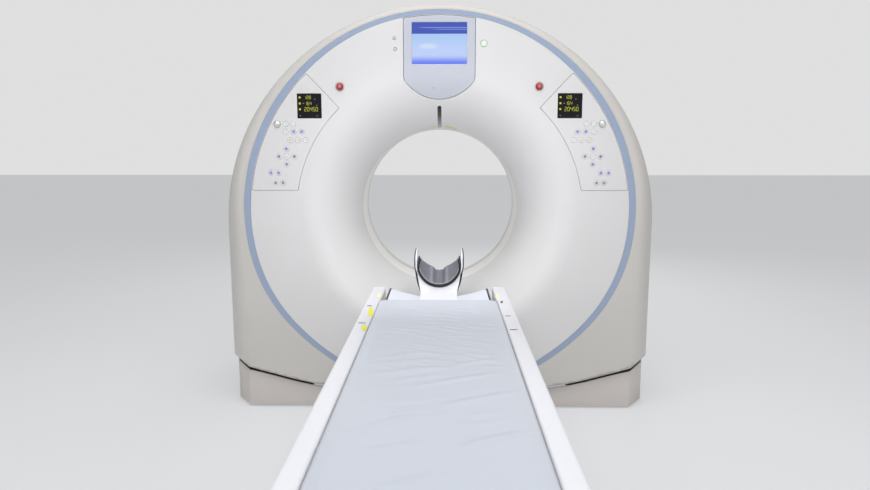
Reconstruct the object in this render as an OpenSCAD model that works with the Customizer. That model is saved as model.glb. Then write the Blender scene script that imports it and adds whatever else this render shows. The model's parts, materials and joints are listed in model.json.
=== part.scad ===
/* [Gantry] */
// Height of the bore axis above the floor
iso_h = 930; // [915:5:960]
// Diameter of the patient opening
bore_d = 780; // [760:5:790]
// Length of the straight middle of the opening
bore_len = 190; // [150:10:220]
// Depth of the gantry from front face to rear face
gantry_depth = 980; // [960:10:1020]
// Diameter at which the flare runs out into the front face
flare_d = 1240; // [1200:10:1260]
// Outer diameter of the round front cover
front_d = 1704; // [1680:4:1710]
// Width of the accent ring at its sides
ring_w = 26; // [20:1:32]
// Distance that the accent ring's outer edge is centred below the bore axis
ring_drop = 8; // [4:1:10]
// Thickness of the moulded covers
wall = 6; // [4:1:8]
// Clearance between pieces that are seated on each other
seat = 0.3; // [0.1:0.1:0.5]

/* [Outer shell] */
// Radius of the arch of the outer shell
shell_r = 992; // [985:1:1000]
// Distance that the arch is centred below the bore axis
shell_drop = 70; // [60:5:80]
// Depth of the rounding round the front and rear faces
round_depth = 140; // [120:10:160]

/* [Base] */
// Height of the joint with the base in the middle
seam_low = 108; // [104:2:120]
// Height of the joint with the base at the sides
seam_high = 214; // [205:3:229]
// Gap between the tilting covers and the base covers
tilt_gap = 12; // [10:1:14]
// Distance of the base front behind the gantry's front face
base_setback = 32; // [30:1:50]
// Width of each bevelled corner of the base
base_corner = 102; // [95:1:110]
// Gap between the base covers and the floor
floor_gap = 10; // [8:1:12]
// Thickness of the base plate
plate_t = 16; // [12:1:18]
// Distance between the gantry's floor anchors, sideways
anchor_x = 1400; // [1300:10:1500]
// Distance between the floor anchors, front to rear
anchor_y = 560; // [500:10:600]
// Radius of the gantry's anchor holes
anchor_r = 9; // [7:1:11]
// Distance between the couch's floor anchors, sideways
couch_anchor_x = 240; // [220:10:280]
// Radius of the couch's anchor holes
couch_anchor_r = 7; // [6:1:9]

/* [Tilt] */
// Radius of the trunnion pins
trunnion_r = 60; // [50:1:65]
// Running clearance of the trunnions in their bearings
trunnion_gap = 0.05; // [0.02:0.01:0.1]
// Space between the stand posts and the sides of the shell
side_room = 106; // [102:1:108]
// Thickness of the stand posts
post_t = 55; // [50:1:56]

/* [Rotor] */
// Space between the rotor disc and the stand posts
rotor_room = 90; // [85:5:110]
// Inner radius of the rotor disc
rotor_in = 430; // [425:1:438]
// Thickness of the rotor disc
rotor_t = 40; // [30:1:45]
// Distance of the rotor disc behind the scan plane
rotor_back = 110; // [105:1:115]
// Radius of the gap between the main bearing's races
race_r = 550; // [545:1:560]
// Running gap of the main bearing
race_gap = 0.5; // [0.3:0.1:0.8]
// Radius of the X-ray tube housing
tube_r = 105; // [95:1:108]
// Distance of the focal spot from the bore axis
focus_r = 620; // [610:1:630]
// Distance from the focal spot to the detector
detector_dist = 1070; // [1050:1:1080]
// Half angle of the detector arc
fan = 25; // [20:1:26]

/* [Controls] */
// Width of the front display housing
display_w = 314; // [300:2:320]
// Distance of the housing's lowest point above the bore axis
display_low = 515; // [505:1:525]
// Width of the display screen
screen_w = 240; // [220:2:250]
// Height of the display screen
screen_h = 176; // [160:2:180]
// Height of the screen's middle above the bore axis
screen_z = 742; // [738:1:746]
// Angle of the control panel's upper edge from the horizontal
panel_angle = 46.5; // [45:0.5:48]
// Height of the control panel's lower edge above the bore axis
panel_low = 103; // [95:1:110]
// Inner radius of the control panels
panel_in = 642; // [638:1:650]
// Side of the square number display
led_size = 108; // [100:1:112]
// Diameter of the round keys
key_d = 23; // [20:1:25]
// Diameter of the emergency stop buttons
estop_d = 30; // [26:1:34]
// Travel of the emergency stop buttons
estop_travel = 4; // [3:0.5:5]
// Diameter of the domed release buttons
dome_d = 30; // [26:1:32]
// Travel of the domed release buttons
dome_travel = 3; // [2:0.5:4]
// Distance from the bore axis to the middle of the emergency stops, sideways
estop_x = 437; // [430:1:444]
// Height of the emergency stops above the bore axis
estop_z = 558; // [550:1:565]
// Width of the laser slot
slot_w = 21; // [18:1:24]

/* [Couch] */
// Width of the couch between the outer sides of its rails
couch_w = 566; // [560:2:580]
// Width of each side rail
rail_w = 54; // [50:1:56]
// Height of the side rails above the floor
rail_top = 629; // [625:1:640]
// Depth of the side rails
rail_h = 115; // [105:1:120]
// Length of the couch
couch_len = 2400; // [2300:10:2500]
// Distance from the gantry's front face to the couch's head end
couch_gap = 175; // [165:5:185]
// Width of the tabletop
table_w = 420; // [410:2:424]
// Depth of the tabletop's trough
trough = 42; // [38:1:45]
// Thickness of the tabletop in its middle
table_t = 17; // [15:1:18]
// Thickness of the mattress
pad_t = 12; // [10:1:14]
// Travel of the tabletop into the gantry
table_travel = 1800; // [1600:10:1800]
// Upward travel of the couch from the height shown
lift_rise = 180; // [150:5:200]
// Downward travel of the couch from the height shown
lift_drop = 25; // [15:5:25]
// Outer radius of the headrest holder
head_r = 117; // [112:1:120]
// Length of the headrest
head_len = 215; // [200:5:230]
// Length of the telescopic covers under the couch
shroud_l = 760; // [700:10:820]
// Width of the outermost telescopic cover
shroud_w = 420; // [400:5:440]

/* [Hidden] */

$fn = 96;
half = gantry_depth / 2;
bore_r = bore_d / 2;
flare_r = flare_d / 2;
front_r = front_d / 2;
ring_r = front_r + ring_w;
eps = 1;
total_len = gantry_depth + couch_gap + couch_len;
gantry_y = total_len / 2 - half;
head_y = -half - couch_gap;
foot_y = head_y - couch_len;

// Plan of the base, and half its inside depth at distances from the middle
side_gap = 4;
side_slant = 22;
corner_cut = 100;
side_cut = 90;
side_x = shell_r + side_gap + wall;
base_flat = side_x - base_corner;
corner_x = side_x - side_slant;
base_y = half - base_setback;
corner_y = base_y - corner_cut;
side_y = corner_y - side_cut;
function base_in(x) = lookup(abs(x) + wall,
  [[0, base_y], [base_flat, base_y], [corner_x, corner_y], [side_x, side_y], [seam_end, side_y]]) - wall;
post_x = shell_r - wall - side_room;
rotor_r = post_x - rotor_room;

// Heights of the joint between tilting covers and base
seam_steps = 8;
seam_x0 = 470;
seam_end = shell_r + 60;
function smooth(t) = let (u = min(1, max(0, t))) u * u * (3 - 2 * u);
function seam_z(x) = seam_low - iso_h
  + (seam_high - seam_low) * smooth((abs(x) - seam_x0) / (seam_end - seam_x0));
seam_xs = concat([0], [for (i = [0 : seam_steps]) seam_x0 + (base_flat - seam_x0) * i / seam_steps],
  [corner_x, side_x - wall, seam_end]);

// Radius about the tilt axis that clears the inside of the base front
sweep_gap = 4;
function sweep_r(x) = sqrt(pow(seam_z(x) - tilt_gap, 2) + pow(base_in(x), 2)) - sweep_gap;

// Flare: a quarter ellipse from the face to the straight bore, set back by t
flare_steps = 16;
function flare_point(a, t) =
  [flare_r - (flare_r - bore_r - t) * sin(a), bore_len / 2 + (half - bore_len / 2 - t) * cos(a)];
function flare(t) = [for (i = [0 : flare_steps]) flare_point(90 * i / flare_steps, t)];

// Frame with the bore axis as Z towards the front, and Y up
module at_gantry() translate([0, gantry_y, iso_h]) rotate([90, 0, 0]) children();
module at_axis() translate([0, gantry_y, 0]) children();
module mirror_x(flip) mirror([flip ? 1 : 0, 0, 0]) children();

// Region above the joint with the base
module above_seam() {
  top = shell_r + 100;
  translate([0, 0, -half - 50]) linear_extrude(gantry_depth + 100)
    polygon(concat([[seam_end, top], [-seam_end, top]],
      [for (i = [len(seam_xs) - 1 : -1 : 1]) [-seam_xs[i], seam_z(seam_xs[i])]],
      [for (x = seam_xs) [x, seam_z(x)]]));
}

// Space that stays clear of the base at every tilt, set in by t
env_top = -560;
module tilt_space(t) {
  translate([-seam_end, env_top, -half - 50])
    cube([2 * seam_end, shell_r + 100 - env_top, gantry_depth + 100]);
  rotate([0, 90, 0]) rotate_extrude()
    polygon(concat([[0, -seam_end]],
      [for (i = [len(seam_xs) - 1 : -1 : 1]) [sweep_r(seam_xs[i]) - t, -seam_xs[i]]],
      [for (i = [1 : len(seam_xs) - 1]) [sweep_r(seam_xs[i]) - t, seam_xs[i]]],
      [[0, seam_end]]));
}

// Rounded block of the whole tilting housing, set in by t
round_steps = 6;
arch_steps = 48;
arch_n = arch_steps + 3;
face_margin = 10;
face_r = ring_r + face_margin;
function arch(side, a, t) = let (
    r = face_r + (shell_r - face_r) * sin(a) - t,
    drop = ring_drop + (shell_drop - ring_drop) * sin(a),
    z = side * (half - t - round_depth * (1 - cos(a))))
  concat([[-r, -iso_h - t, z], [r, -iso_h - t, z]],
    [for (k = [0 : arch_steps]) let (b = 180 * k / arch_steps) [r * cos(b), r * sin(b) - drop, z]]);
module housing_block(t) {
  rows = concat([for (i = [0 : round_steps]) arch(-1, 90 * i / round_steps, t)],
    [for (i = [round_steps : -1 : 0]) arch(1, 90 * i / round_steps, t)]);
  last = (len(rows) - 1) * arch_n;
  polyhedron([for (row = rows) each row], concat(
    [[for (k = [0 : arch_n - 1]) k], [for (k = [arch_n - 1 : -1 : 0]) last + k]],
    [for (j = [0 : arch_n : last - 1], k = [0 : arch_n - 1]) let (m = (k + 1) % arch_n)
      [j + k, j + arch_n + k, j + arch_n + m, j + m]]));
}
module housing(t) intersection() {
  housing_block(t);
  tilt_space(t);
}

module outer_shell(front) {
  keep = front ? 0 : -half - eps;
  intersection() {
    difference() {
      housing(0);
      housing(wall);
      translate([0, front ? -ring_drop : 0, front ? 0 : -half - eps])
        cylinder(r = (front ? ring_r : front_r) + seat, h = half + eps);
    }
    above_seam();
    translate([-seam_end, -iso_h, keep]) cube([2 * seam_end, 2 * iso_h + 200, half + eps]);
  }
}

// Round end cover with its flare, facing +Z
module end_cover() {
  lip = 24;
  intersection() {
    union() {
      intersection() {
        rotate_extrude() polygon(concat(
          [[front_r, half], [front_r, half - lip], [front_r - wall, half - lip],
           [front_r - wall, half - wall]],
          [for (p = flare(wall)) p],
          [for (i = [flare_steps : -1 : 0]) flare(0)[i]]));
        tilt_space(0);
      }
      intersection() {
        difference() {
          tilt_space(0);
          tilt_space(wall);
        }
        cylinder(r = front_r, h = half);
        translate([-front_r, -iso_h, base_y - 60]) cube([2 * front_r, iso_h + env_top - eps, half]);
      }
    }
    above_seam();
  }
}

// Well in the base plate, in which the tilted housing sinks
well_edge = 50;
well_x = anchor_x / 2 - well_edge;
well_y = half - base_setback - 128;
module base_frame() color("dimgray") at_axis() difference() {
  translate([0, 0, floor_gap]) linear_extrude(plate_t) base_plan(wall + seat);
  translate([-well_x, -well_y, 0]) cube([2 * well_x, 2 * well_y, floor_gap + 2 * plate_t]);
  anchor_holes(anchor_x, anchor_y, anchor_r);
}
module anchor_holes(dx, dy, r) for (x = [-1, 1], y = [-1, 1])
  translate([x * dx / 2, y * dy / 2, floor_gap - eps]) cylinder(r = r, h = plate_t + 2 * eps);

module stand(flip) at_axis() mirror_x(flip) translate([post_x, 0, 0]) {
  foot_w = 200;
  head_w = trunnion_r + bearing_w + 27;
  base = floor_gap + plate_t;
  difference() {
    union() {
      translate([0, 0, iso_h]) rotate([0, 90, 0]) cylinder(r = head_w, h = post_t);
      rotate([90, 0, 90]) linear_extrude(post_t)
        polygon([[-foot_w, base], [foot_w, base], [head_w, iso_h], [-head_w, iso_h]]);
    }
    translate([-eps, 0, iso_h]) rotate([0, 90, 0])
      cylinder(r = trunnion_r + bearing_w, h = post_t + 2 * eps);
    translate([-eps, 0, 0]) rotate([90, 0, 90]) linear_extrude(post_t + 2 * eps)
      polygon([[-foot_w + 60, base + 60], [foot_w - 60, base + 60], [head_w - 50, iso_h - 260],
        [-head_w + 50, iso_h - 260]]);
  }
}
module left_stand() color("slategray") stand(true);
module right_stand() color("slategray") stand(false);

bearing_w = 18;
module tilt_bearings() color("silver") at_axis()
  for (flip = [true, false]) mirror_x(flip) translate([post_x, 0, iso_h]) rotate([0, 90, 0])
    difference() {
      cylinder(r = trunnion_r + bearing_w - seat, h = post_t);
      translate([0, 0, -eps]) cylinder(r = trunnion_r + trunnion_gap, h = post_t + 2 * eps);
    }

// Geared tilt drive round the right trunnion
module tilt_gearbox() color("darkslategray") at_axis() translate([post_x + post_t, 0, iso_h]) {
  depth = 22;
  difference() {
    union() {
      rotate([0, 90, 0]) cylinder(r = trunnion_r + 40, h = depth);
      translate([0, -45, -300]) cube([depth, 90, 240]);
    }
    translate([-eps, 0, 0]) rotate([0, 90, 0]) cylinder(r = trunnion_r + 1, h = depth + 2 * eps);
  }
}

module base_plan(t) polygon([for (q = [[1, -1], [1, 1], [-1, 1], [-1, -1]])
  each let (s = [[base_flat, base_y], [corner_x, corner_y], [side_x, side_y]],
    order = q[0] * q[1] < 0 ? [0, 1, 2] : [2, 1, 0])
    [for (k = order) [q[0] * (s[k][0] - t), q[1] * (s[k][1] - t)]]]);

module base_cover(front) at_axis() intersection() {
  difference() {
    translate([0, 0, floor_gap]) linear_extrude(seam_high) base_plan(0);
    linear_extrude(2 * seam_high) base_plan(wall);
  }
  translate([-seam_end, front ? -half : 0, 0]) cube([2 * seam_end, half, 2 * seam_high]);
  translate([0, half, 0]) rotate([90, 0, 0]) linear_extrude(gantry_depth)
    polygon(concat([[seam_end, 0], [-seam_end, 0]],
      [for (i = [len(seam_xs) - 1 : -1 : 1]) [-seam_xs[i], seam_z(seam_xs[i]) + iso_h - tilt_gap]],
      [for (x = seam_xs) [x, seam_z(x) + iso_h - tilt_gap]]));
}
module base_front_cover() color("gainsboro") base_cover(true);
module base_rear_cover() color("gainsboro") base_cover(false);

foot_r = 45;
module levelling_feet() color("dimgray") {
  at_axis() for (x = [-1, 1], y = [-1, 1])
    translate([x * (post_x - 60), y * (base_y - 140), 0]) cylinder(r = foot_r, h = floor_gap);
  for (x = [-1, 1], y = [-1, 1])
    translate([x * (pedestal_w / 2 - 60), pedestal_y + y * (pedestal_l / 2 - 70), 0])
      cylinder(r = foot_r, h = floor_gap);
}

// Pedestal of the couch
pedestal_w = 480;
pedestal_l = 900;
pedestal_y = gantry_y + head_y - couch_len / 2 - 60;
duct_w = 200;
duct_h = 42;
module link_duct() color("gainsboro") {
  back = gantry_y - base_y - seat;
  front = pedestal_y + pedestal_l / 2 + seat;
  translate([-duct_w / 2, front, 0]) difference() {
    cube([duct_w, back - front, duct_h]);
    translate([wall, -eps, -eps]) cube([duct_w - 2 * wall, back - front + 2 * eps, duct_h - wall + eps]);
  }
}

module rounded(w, l, r) {
  square([w - 2 * r, l], center = true);
  square([w, l - 2 * r], center = true);
  for (x = [-1, 1], y = [-1, 1]) translate([x * (w / 2 - r), y * (l / 2 - r)]) circle(r);
}

module at_pedestal() translate([0, pedestal_y, 0]) children();
module couch_base_plate() color("dimgray") at_pedestal() difference() {
  translate([0, 0, floor_gap]) linear_extrude(plate_t)
    rounded(pedestal_w - 2 * (wall + seat), pedestal_l - 2 * (wall + seat), 34);
  anchor_holes(couch_anchor_x, anchor_y, couch_anchor_r);
}

module couch_base_cover() color("whitesmoke") at_pedestal() {
  low = 3;
  difference() {
    translate([0, 0, low]) linear_extrude(base_top - low) rounded(pedestal_w, pedestal_l, 40);
    translate([0, 0, low - eps]) linear_extrude(base_top - wall - low + eps)
      rounded(pedestal_w - 2 * wall, pedestal_l - 2 * wall, 40 - wall);
    translate([0, 0, base_top - wall - eps]) linear_extrude(wall + 2 * eps)
      rounded(shroud_in(2) - 2 * wall, shroud_in(2) + shroud_l - shroud_w - 2 * wall, 20);
  }
}

// Telescopic covers, numbered from the outside
shroud_wall = 4;
shroud_gap = 8;
rim_gap = 0.4;
rim_h = 12;
function shroud_in(i) = shroud_w - i * 2 * (shroud_wall + shroud_gap);
module shroud(i, low, high) at_pedestal() difference() {
  w = shroud_in(i);
  l = w + shroud_l - shroud_w;
  rim = i > 0 ? 2 * (shroud_gap - rim_gap) : 0;
  union() {
    translate([0, 0, low]) linear_extrude(high - low) rounded(w, l, 30);
    translate([0, 0, high - rim_h]) linear_extrude(rim_h) rounded(w + rim, l + rim, 30);
  }
  translate([0, 0, low - eps]) linear_extrude(high - low + 2 * eps)
    rounded(w - 2 * shroud_wall, l - 2 * shroud_wall, 30 - shroud_wall);
}
pan_z = rail_top - rail_h;
base_top = 70;
lower_top = 275;
upper_low = 250;
mid_top = upper_low + lift_rise / 2 + 55;
module lower_shroud() color("gray") shroud(2, base_top, lower_top);
module mid_shroud() color("lightgray") shroud(1, base_top + lift_drop / 2 + 4, mid_top);
module upper_shroud() color("whitesmoke") shroud(0, upper_low, pan_z);

column_w = 150;
column_t = 10;
column_low = 150;
column_top = column_low + lift_rise + 70;
module column(w, low, high) at_pedestal() translate([0, 0, low]) difference() {
  linear_extrude(high - low) square([w, w], center = true);
  translate([0, 0, -eps]) linear_extrude(high - low + 2 * eps) square([w - 2 * column_t, w - 2 * column_t], center = true);
}
module outer_column() color("slategray") column(column_w, floor_gap + plate_t, column_top);
module inner_column() color("silver") column(column_w - 2 * column_t - 2 * slide_gap, column_low, pan_z);
slide_gap = 0.5;

module tilt_frame() color("steelblue") at_gantry() {
  back = -race_z - plate_d;
  arm_x = post_x - 14;
  difference() {
    union() {
      translate([0, 0, back]) cylinder(r = rotor_r + 40, h = plate_d);
      for (s = [-1, 1]) translate([s > 0 ? arm_x - 50 : -arm_x, -150, back])
        cube([50, 300, plate_d + race_z + 80]);
    }
    translate([0, 0, back - eps]) cylinder(r = race_r - 32, h = plate_d + 2 * eps);
    for (k = [0 : 5]) rotate(60 * k + 30) translate([(race_r + rotor_r) / 2 + 30, 0, back - eps])
      cylinder(r = 70, h = plate_d + 2 * eps);
  }
  for (s = [-1, 1]) rotate([0, s * 90, 0])
    translate([0, 0, arm_x - eps]) cylinder(r = trunnion_r, h = post_t + 14 + eps + 14);
}
plate_d = 60;
race_z = rotor_back + rotor_t + 60;

module outer_front_shell() color("gainsboro") at_gantry() outer_shell(true);
module outer_rear_shell() color("gainsboro") at_gantry() outer_shell(false);

slot_top = 493;
module flare_slot() translate([0, 0, bore_len / 2]) {
  translate([-slot_w / 2, bore_r - wall, 0]) cube([slot_w, slot_top - bore_r - slot_w / 2 + wall, half]);
  translate([0, slot_top - slot_w / 2, 0]) cylinder(d = slot_w, h = half);
}

button_hole = 0.5;
collar_w = 4;
collar_d = 18;
module front_cover() color("whitesmoke") at_gantry() difference() {
  end_cover();
  display_outline(0, 0, half + eps);
  for (flip = [true, false]) mirror_x(flip) {
    panel_outline(0, half - wall - eps, wall + 2 * eps);
    translate([estop_x, estop_z, half - wall - eps]) cylinder(r = estop_d / 2 + collar_w, h = 2 * wall);
  }
  for (p = lamps) translate([p[0], p[1], half - wall - eps])
    cylinder(d = p[2], h = 2 * wall);
  flare_slot();
}
module rear_cover() color("whitesmoke") at_gantry() rotate([0, 180, 0]) end_cover();

module accent_ring() color("lightsteelblue") at_gantry() intersection() {
  depth = 26;
  translate([0, 0, half - depth]) difference() {
    translate([0, -ring_drop, 0]) cylinder(r = ring_r, h = depth);
    translate([0, 0, -eps]) cylinder(r = front_r + seat, h = depth + 2 * eps);
  }
  tilt_space(0);
  above_seam();
}

module bore_window() color("white") at_gantry() translate([0, 0, -bore_len / 2]) difference() {
  cylinder(r = bore_r + 4, h = bore_len);
  translate([0, 0, -eps]) cylinder(r = bore_r, h = bore_len + 2 * eps);
}

// Outline of the display housing, cut from the front cover with margin t
display_r = 192;
module display_outline(t, low, high) intersection() {
  translate([0, 0, low]) cylinder(r = front_r - 12 - t, h = high - low);
  translate([0, 0, low]) linear_extrude(high - low) {
    intersection() {
      translate([0, display_low + display_r]) circle(display_r - t);
      translate([-display_r, 0]) square([2 * display_r, display_side + eps]);
    }
    translate([-display_w / 2 + t, display_side]) square([display_w - 2 * t, front_r - display_side]);
  }
}
display_side = display_low + display_r - sqrt(pow(display_r, 2) - pow(display_w / 2, 2));

// Solid between the face with its flare and the same face set back by t
module face_skin(t) rotate_extrude() polygon(concat([[front_r, half], [front_r, half - t]],
  [for (p = flare(t)) p], [for (i = [flare_steps : -1 : 0]) flare(0)[i]]));

module display_housing() color("lightsteelblue") at_gantry() difference() {
  intersection() {
    face_skin(wall + 14);
    display_outline(seat, 0, half + eps);
  }
  translate([-screen_w / 2 - seat, screen_z - screen_h / 2 - seat, half - 12])
    cube([screen_w + 2 * seat, screen_h + 2 * seat, 20]);
}
module display_screen() color("cornflowerblue") at_gantry()
  translate([-screen_w / 2, screen_z - screen_h / 2, half - 12]) cube([screen_w, screen_h, 10]);

// Outline of the right control panel, set in by t
module panel_outline(t, low, depth) translate([0, 0, low]) intersection() {
  difference() {
    cylinder(r = front_r - 12 - t, h = depth);
    translate([0, 0, -eps]) cylinder(r = panel_in + t, h = depth + 2 * eps);
  }
  linear_extrude(depth) translate([0, panel_low + t]) polygon([[0, 0], [shell_r, 0],
    [shell_r, shell_r * tan(panel_angle) - panel_low - panel_cut(t)],
    [0, -panel_low - panel_cut(t)]]);
}
function panel_cut(t) = 2 * t / cos(panel_angle);

led_x = 574;
led_z = 475;
dome_x = 719;
dome_z = 396;
// Middles of the round keys on the right panel: across, up
keys = [[681, 397], [649, 396], [682, 363], [647, 363], [611, 363], [663, 326], [629, 326],
  [594, 326], [682, 288], [716, 254], [682, 254], [647, 254], [682, 220], [754, 181],
  [720, 181], [735, 137], [702, 137]];
module operator_panel(flip) at_gantry() mirror_x(flip) difference() {
  panel_outline(seat, half - wall, wall);
  translate([led_x - led_size / 2 - seat, led_z - led_size / 2 - seat, half - wall - eps])
    cube([led_size + 2 * seat, led_size + 2 * seat, wall + 2 * eps]);
  for (k = keys) translate([k[0], k[1], half - wall - eps])
    cylinder(d = key_d + 1, h = wall + 2 * eps);
  translate([dome_x, dome_z, half - wall - eps])
    cylinder(d = dome_d + 2 * button_hole, h = wall + 2 * eps);
}
module left_operator_panel() color("whitesmoke") operator_panel(true);
module right_operator_panel() color("whitesmoke") operator_panel(false);

module number_displays() color("black") at_gantry() for (flip = [true, false]) mirror_x(flip)
  translate([led_x - led_size / 2, led_z - led_size / 2, half - 12]) cube([led_size, led_size, 11]);

// One moulded mat behind the panel, with a domed key in each hole
mat_t = 3;
module keypad(flip) at_gantry() mirror_x(flip) {
  translate([0, 0, half - wall - mat_t]) linear_extrude(mat_t - seat) polygon([[580, 345], [585, 415],
    [700, 415], [700, 345], [735, 275], [772, 200], [770, 160], [750, 118], [690, 118], [640, 210]]);
  for (k = keys) translate([k[0], k[1], half - wall - seat - eps]) {
    cylinder(d = key_d, h = wall + seat + eps);
    translate([0, 0, wall + seat + eps]) cylinder(d1 = key_d, d2 = key_d - 8, h = 2);
  }
}
module left_keypad() color("lightgray") keypad(true);
module right_keypad() color("lightgray") keypad(false);

module laser_window() color("black") at_gantry() intersection() {
  face_skin_inner();
  translate([-slot_w / 2 + seat, bore_r + wall, bore_len / 2])
    cube([slot_w - 2 * seat, slot_top - bore_r - slot_w / 2 - wall, half]);
}
module face_skin_inner() difference() {
  face_skin(wall + 4);
  face_skin(wall - 2);
}
sill_w = 78;
module laser_sill() color("gray") at_gantry() intersection() {
  difference() {
    cylinder(r = bore_r + 12, h = bore_len / 2 + 26);
    translate([0, 0, -eps]) cylinder(r = bore_r + 4 + seat, h = bore_len / 2 + 40);
  }
  translate([-sill_w / 2, bore_r - 30, bore_len / 2 - 20]) cube([sill_w, 60, 19]);
}

lamps = [[193, 740, 28], [-195, 764, 14], [-193, 718, 14]];
module indicator_lamps() color("palegreen") at_gantry() for (p = lamps)
  translate([p[0], p[1], half - wall]) {
    cylinder(d = p[2] - 2 * seat, h = wall);
    translate([0, 0, wall]) cylinder(d1 = p[2] - 2 * seat, d2 = p[2] - 6, h = 1.5);
  }

module estop_collars() color("lightgray") at_gantry() for (flip = [true, false]) mirror_x(flip)
  translate([estop_x, estop_z, half - collar_d]) difference() {
    cylinder(r = estop_d / 2 + collar_w - seat, h = collar_d + 2);
    translate([0, 0, collar_w]) cylinder(r = estop_d / 2 + button_hole, h = 2 * collar_d);
  }

module estop_button(flip) at_gantry() mirror_x(flip)
  translate([estop_x, estop_z, half - collar_d + collar_w + estop_travel]) {
    cylinder(d = estop_d, h = 20);
    translate([0, 0, 20]) cylinder(d1 = estop_d, d2 = estop_d - 6, h = 3);
  }
module left_estop_button() color("firebrick") estop_button(true);
module right_estop_button() color("firebrick") estop_button(false);

module dome_button(flip) at_gantry() mirror_x(flip) translate([dome_x, dome_z, half - wall]) {
  side = wall + dome_travel + 5;
  cylinder(d = dome_d, h = side);
  translate([0, 0, side]) cylinder(d1 = dome_d, d2 = dome_d - 12, h = 5);
}
module left_dome_button() color("silver") dome_button(true);
module right_dome_button() color("silver") dome_button(false);

module race(inner, outer, low, high) translate([0, 0, low]) difference() {
  cylinder(r = outer, h = high - low);
  translate([0, 0, -eps]) cylinder(r = inner, h = high - low + 2 * eps);
}
module outer_race() color("silver") at_gantry()
  race(race_r, race_r + 48, -race_z, -rotor_back - rotor_t - 2);
module inner_race() color("silver") at_gantry()
  race(race_r - 48, race_r - race_gap, -race_z + 2, -rotor_back - rotor_t);

module brush_block() color("saddlebrown") at_gantry() {
  translate([-60, 452, -race_z - plate_d - 30]) cube([120, 150, 30]);
  translate([-40, 452, -race_z - plate_d]) cube([80, 40, plate_d + 4]);
}

bracket_r = rotor_r + 36;
rod_r = 11;
module cover_brackets() color("darkgray") at_gantry() for (a = [60, 120, 200, 340]) rotate(a)
  translate([bracket_r, 0, 0]) {
    translate([0, 0, seat - race_z]) cylinder(r = rod_r, h = race_z + half - wall - 2 * seat);
    translate([0, 0, seat - half + wall])
      cylinder(r = rod_r, h = half - wall - race_z - plate_d - 2 * seat);
  }

module rotor_disc() color("darkgray") at_gantry() translate([0, 0, -rotor_back - rotor_t]) difference() {
  cylinder(r = rotor_r, h = rotor_t);
  translate([0, 0, -eps]) cylinder(r = rotor_in, h = rotor_t + 2 * eps);
  for (a = [45, 135, 315]) rotate(a) translate([620, 0, -eps]) cylinder(r = 90, h = rotor_t + 2 * eps);
}
module xray_tube() color("lightgray") at_gantry() translate([0, focus_r, -rotor_back])
  cylinder(r = tube_r, h = 2 * rotor_back);
module collimator() color("dimgray") at_gantry()
  translate([-85, rotor_in + 8, -rotor_back]) cube([170, focus_r - tube_r - rotor_in - 8 - seat, 180]);
detector_t = 70;
detector_w = 160;
module detector_arc() color("darkslateblue") at_gantry() translate([0, focus_r, -rotor_back])
  rotate_sector(detector_dist, detector_dist + detector_t, fan, detector_w);
module rotate_sector(inner, outer, a, h) rotate([0, 0, -90 - a]) rotate_extrude(angle = 2 * a)
  translate([inner, 0]) square([outer - inner, h]);
module slip_ring() color("goldenrod") at_gantry()
  race(rotor_in + 10, race_r - 52, -race_z + 6, -rotor_back - rotor_t);
unit_w = 225;
unit_l = 240;
unit_d = 190;
unit_edge = 60;
module generator() color("gray") at_gantry()
  translate([-rotor_r + unit_edge, -unit_l / 2, -rotor_back]) cube([unit_w, unit_l, unit_d]);
module tube_cooler() color("gray") at_gantry()
  translate([rotor_r - unit_edge - unit_w, -unit_l / 2, -rotor_back]) cube([unit_w, unit_l, unit_d]);

// Couch
in_x = couch_w / 2 - rail_w;
rail_round = 12;
head_depth = 60;
skin = 4;
module rail_profile() translate([couch_w / 2 - rail_w / 2, rail_top - rail_h / 2])
  rounded(rail_w, rail_h, rail_round);
module couch_side(flip, low_y, high_y) at_axis() mirror_x(flip) difference() {
  translate([0, high_y, 0]) rotate([90, 0, 0]) linear_extrude(high_y - low_y) difference() {
    rail_profile();
    translate([in_x + skin, pan_z - eps]) square([rail_w - 2 * skin, rail_h - skin + eps]);
    translate([in_x - eps, pan_z - eps]) square([rail_w / 2, skin + seat + eps]);
  }
  head_wedge();
}
// Slope under the head end of the couch
module head_wedge() translate([0, head_y + eps, pan_z - eps]) rotate([90, 0, -90])
  linear_extrude(2 * couch_w, center = true)
    polygon([[0, -20], [130, -20], [130, 0], [0, rail_h - head_depth]]);
end_t = 20;
module left_rail_cover() color("white") couch_side(true, foot_y + end_t, head_y - end_t);
module right_rail_cover() color("white") couch_side(false, foot_y + end_t, head_y - end_t);

// Closed block across the couch at one end, open above for the tabletop
module end_cap(low_y, high_y) at_axis() difference() {
  translate([0, high_y, 0]) rotate([90, 0, 0]) linear_extrude(high_y - low_y) {
    for (flip = [true, false]) mirror_x(flip) rail_profile();
    translate([-in_x - rail_round, pan_z]) square([2 * (in_x + rail_round), 20]);
  }
  head_wedge();
}
module foot_end_cover() color("white") end_cap(foot_y, foot_y + end_t);
module head_end_cover() color("white") at_axis() for (flip = [true, false]) mirror_x(flip)
  difference() {
    translate([0, head_y, 0]) rotate([90, 0, 0]) linear_extrude(end_t) rail_profile();
    head_wedge();
  }

beam_gap = 0.3;
module couch_frame() color("slategray") at_axis() {
  low = foot_y + end_t;
  high = head_y - 150;
  for (flip = [true, false]) mirror_x(flip)
    translate([in_x + skin + beam_gap, low, pan_z + skin])
      cube([rail_w - 2 * (skin + beam_gap), high - low, rail_h - 2 * skin - beam_gap]);
  translate([-in_x - skin - 2, low, pan_z]) cube([2 * (in_x + skin + 2), high - low, skin]);
}

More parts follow.
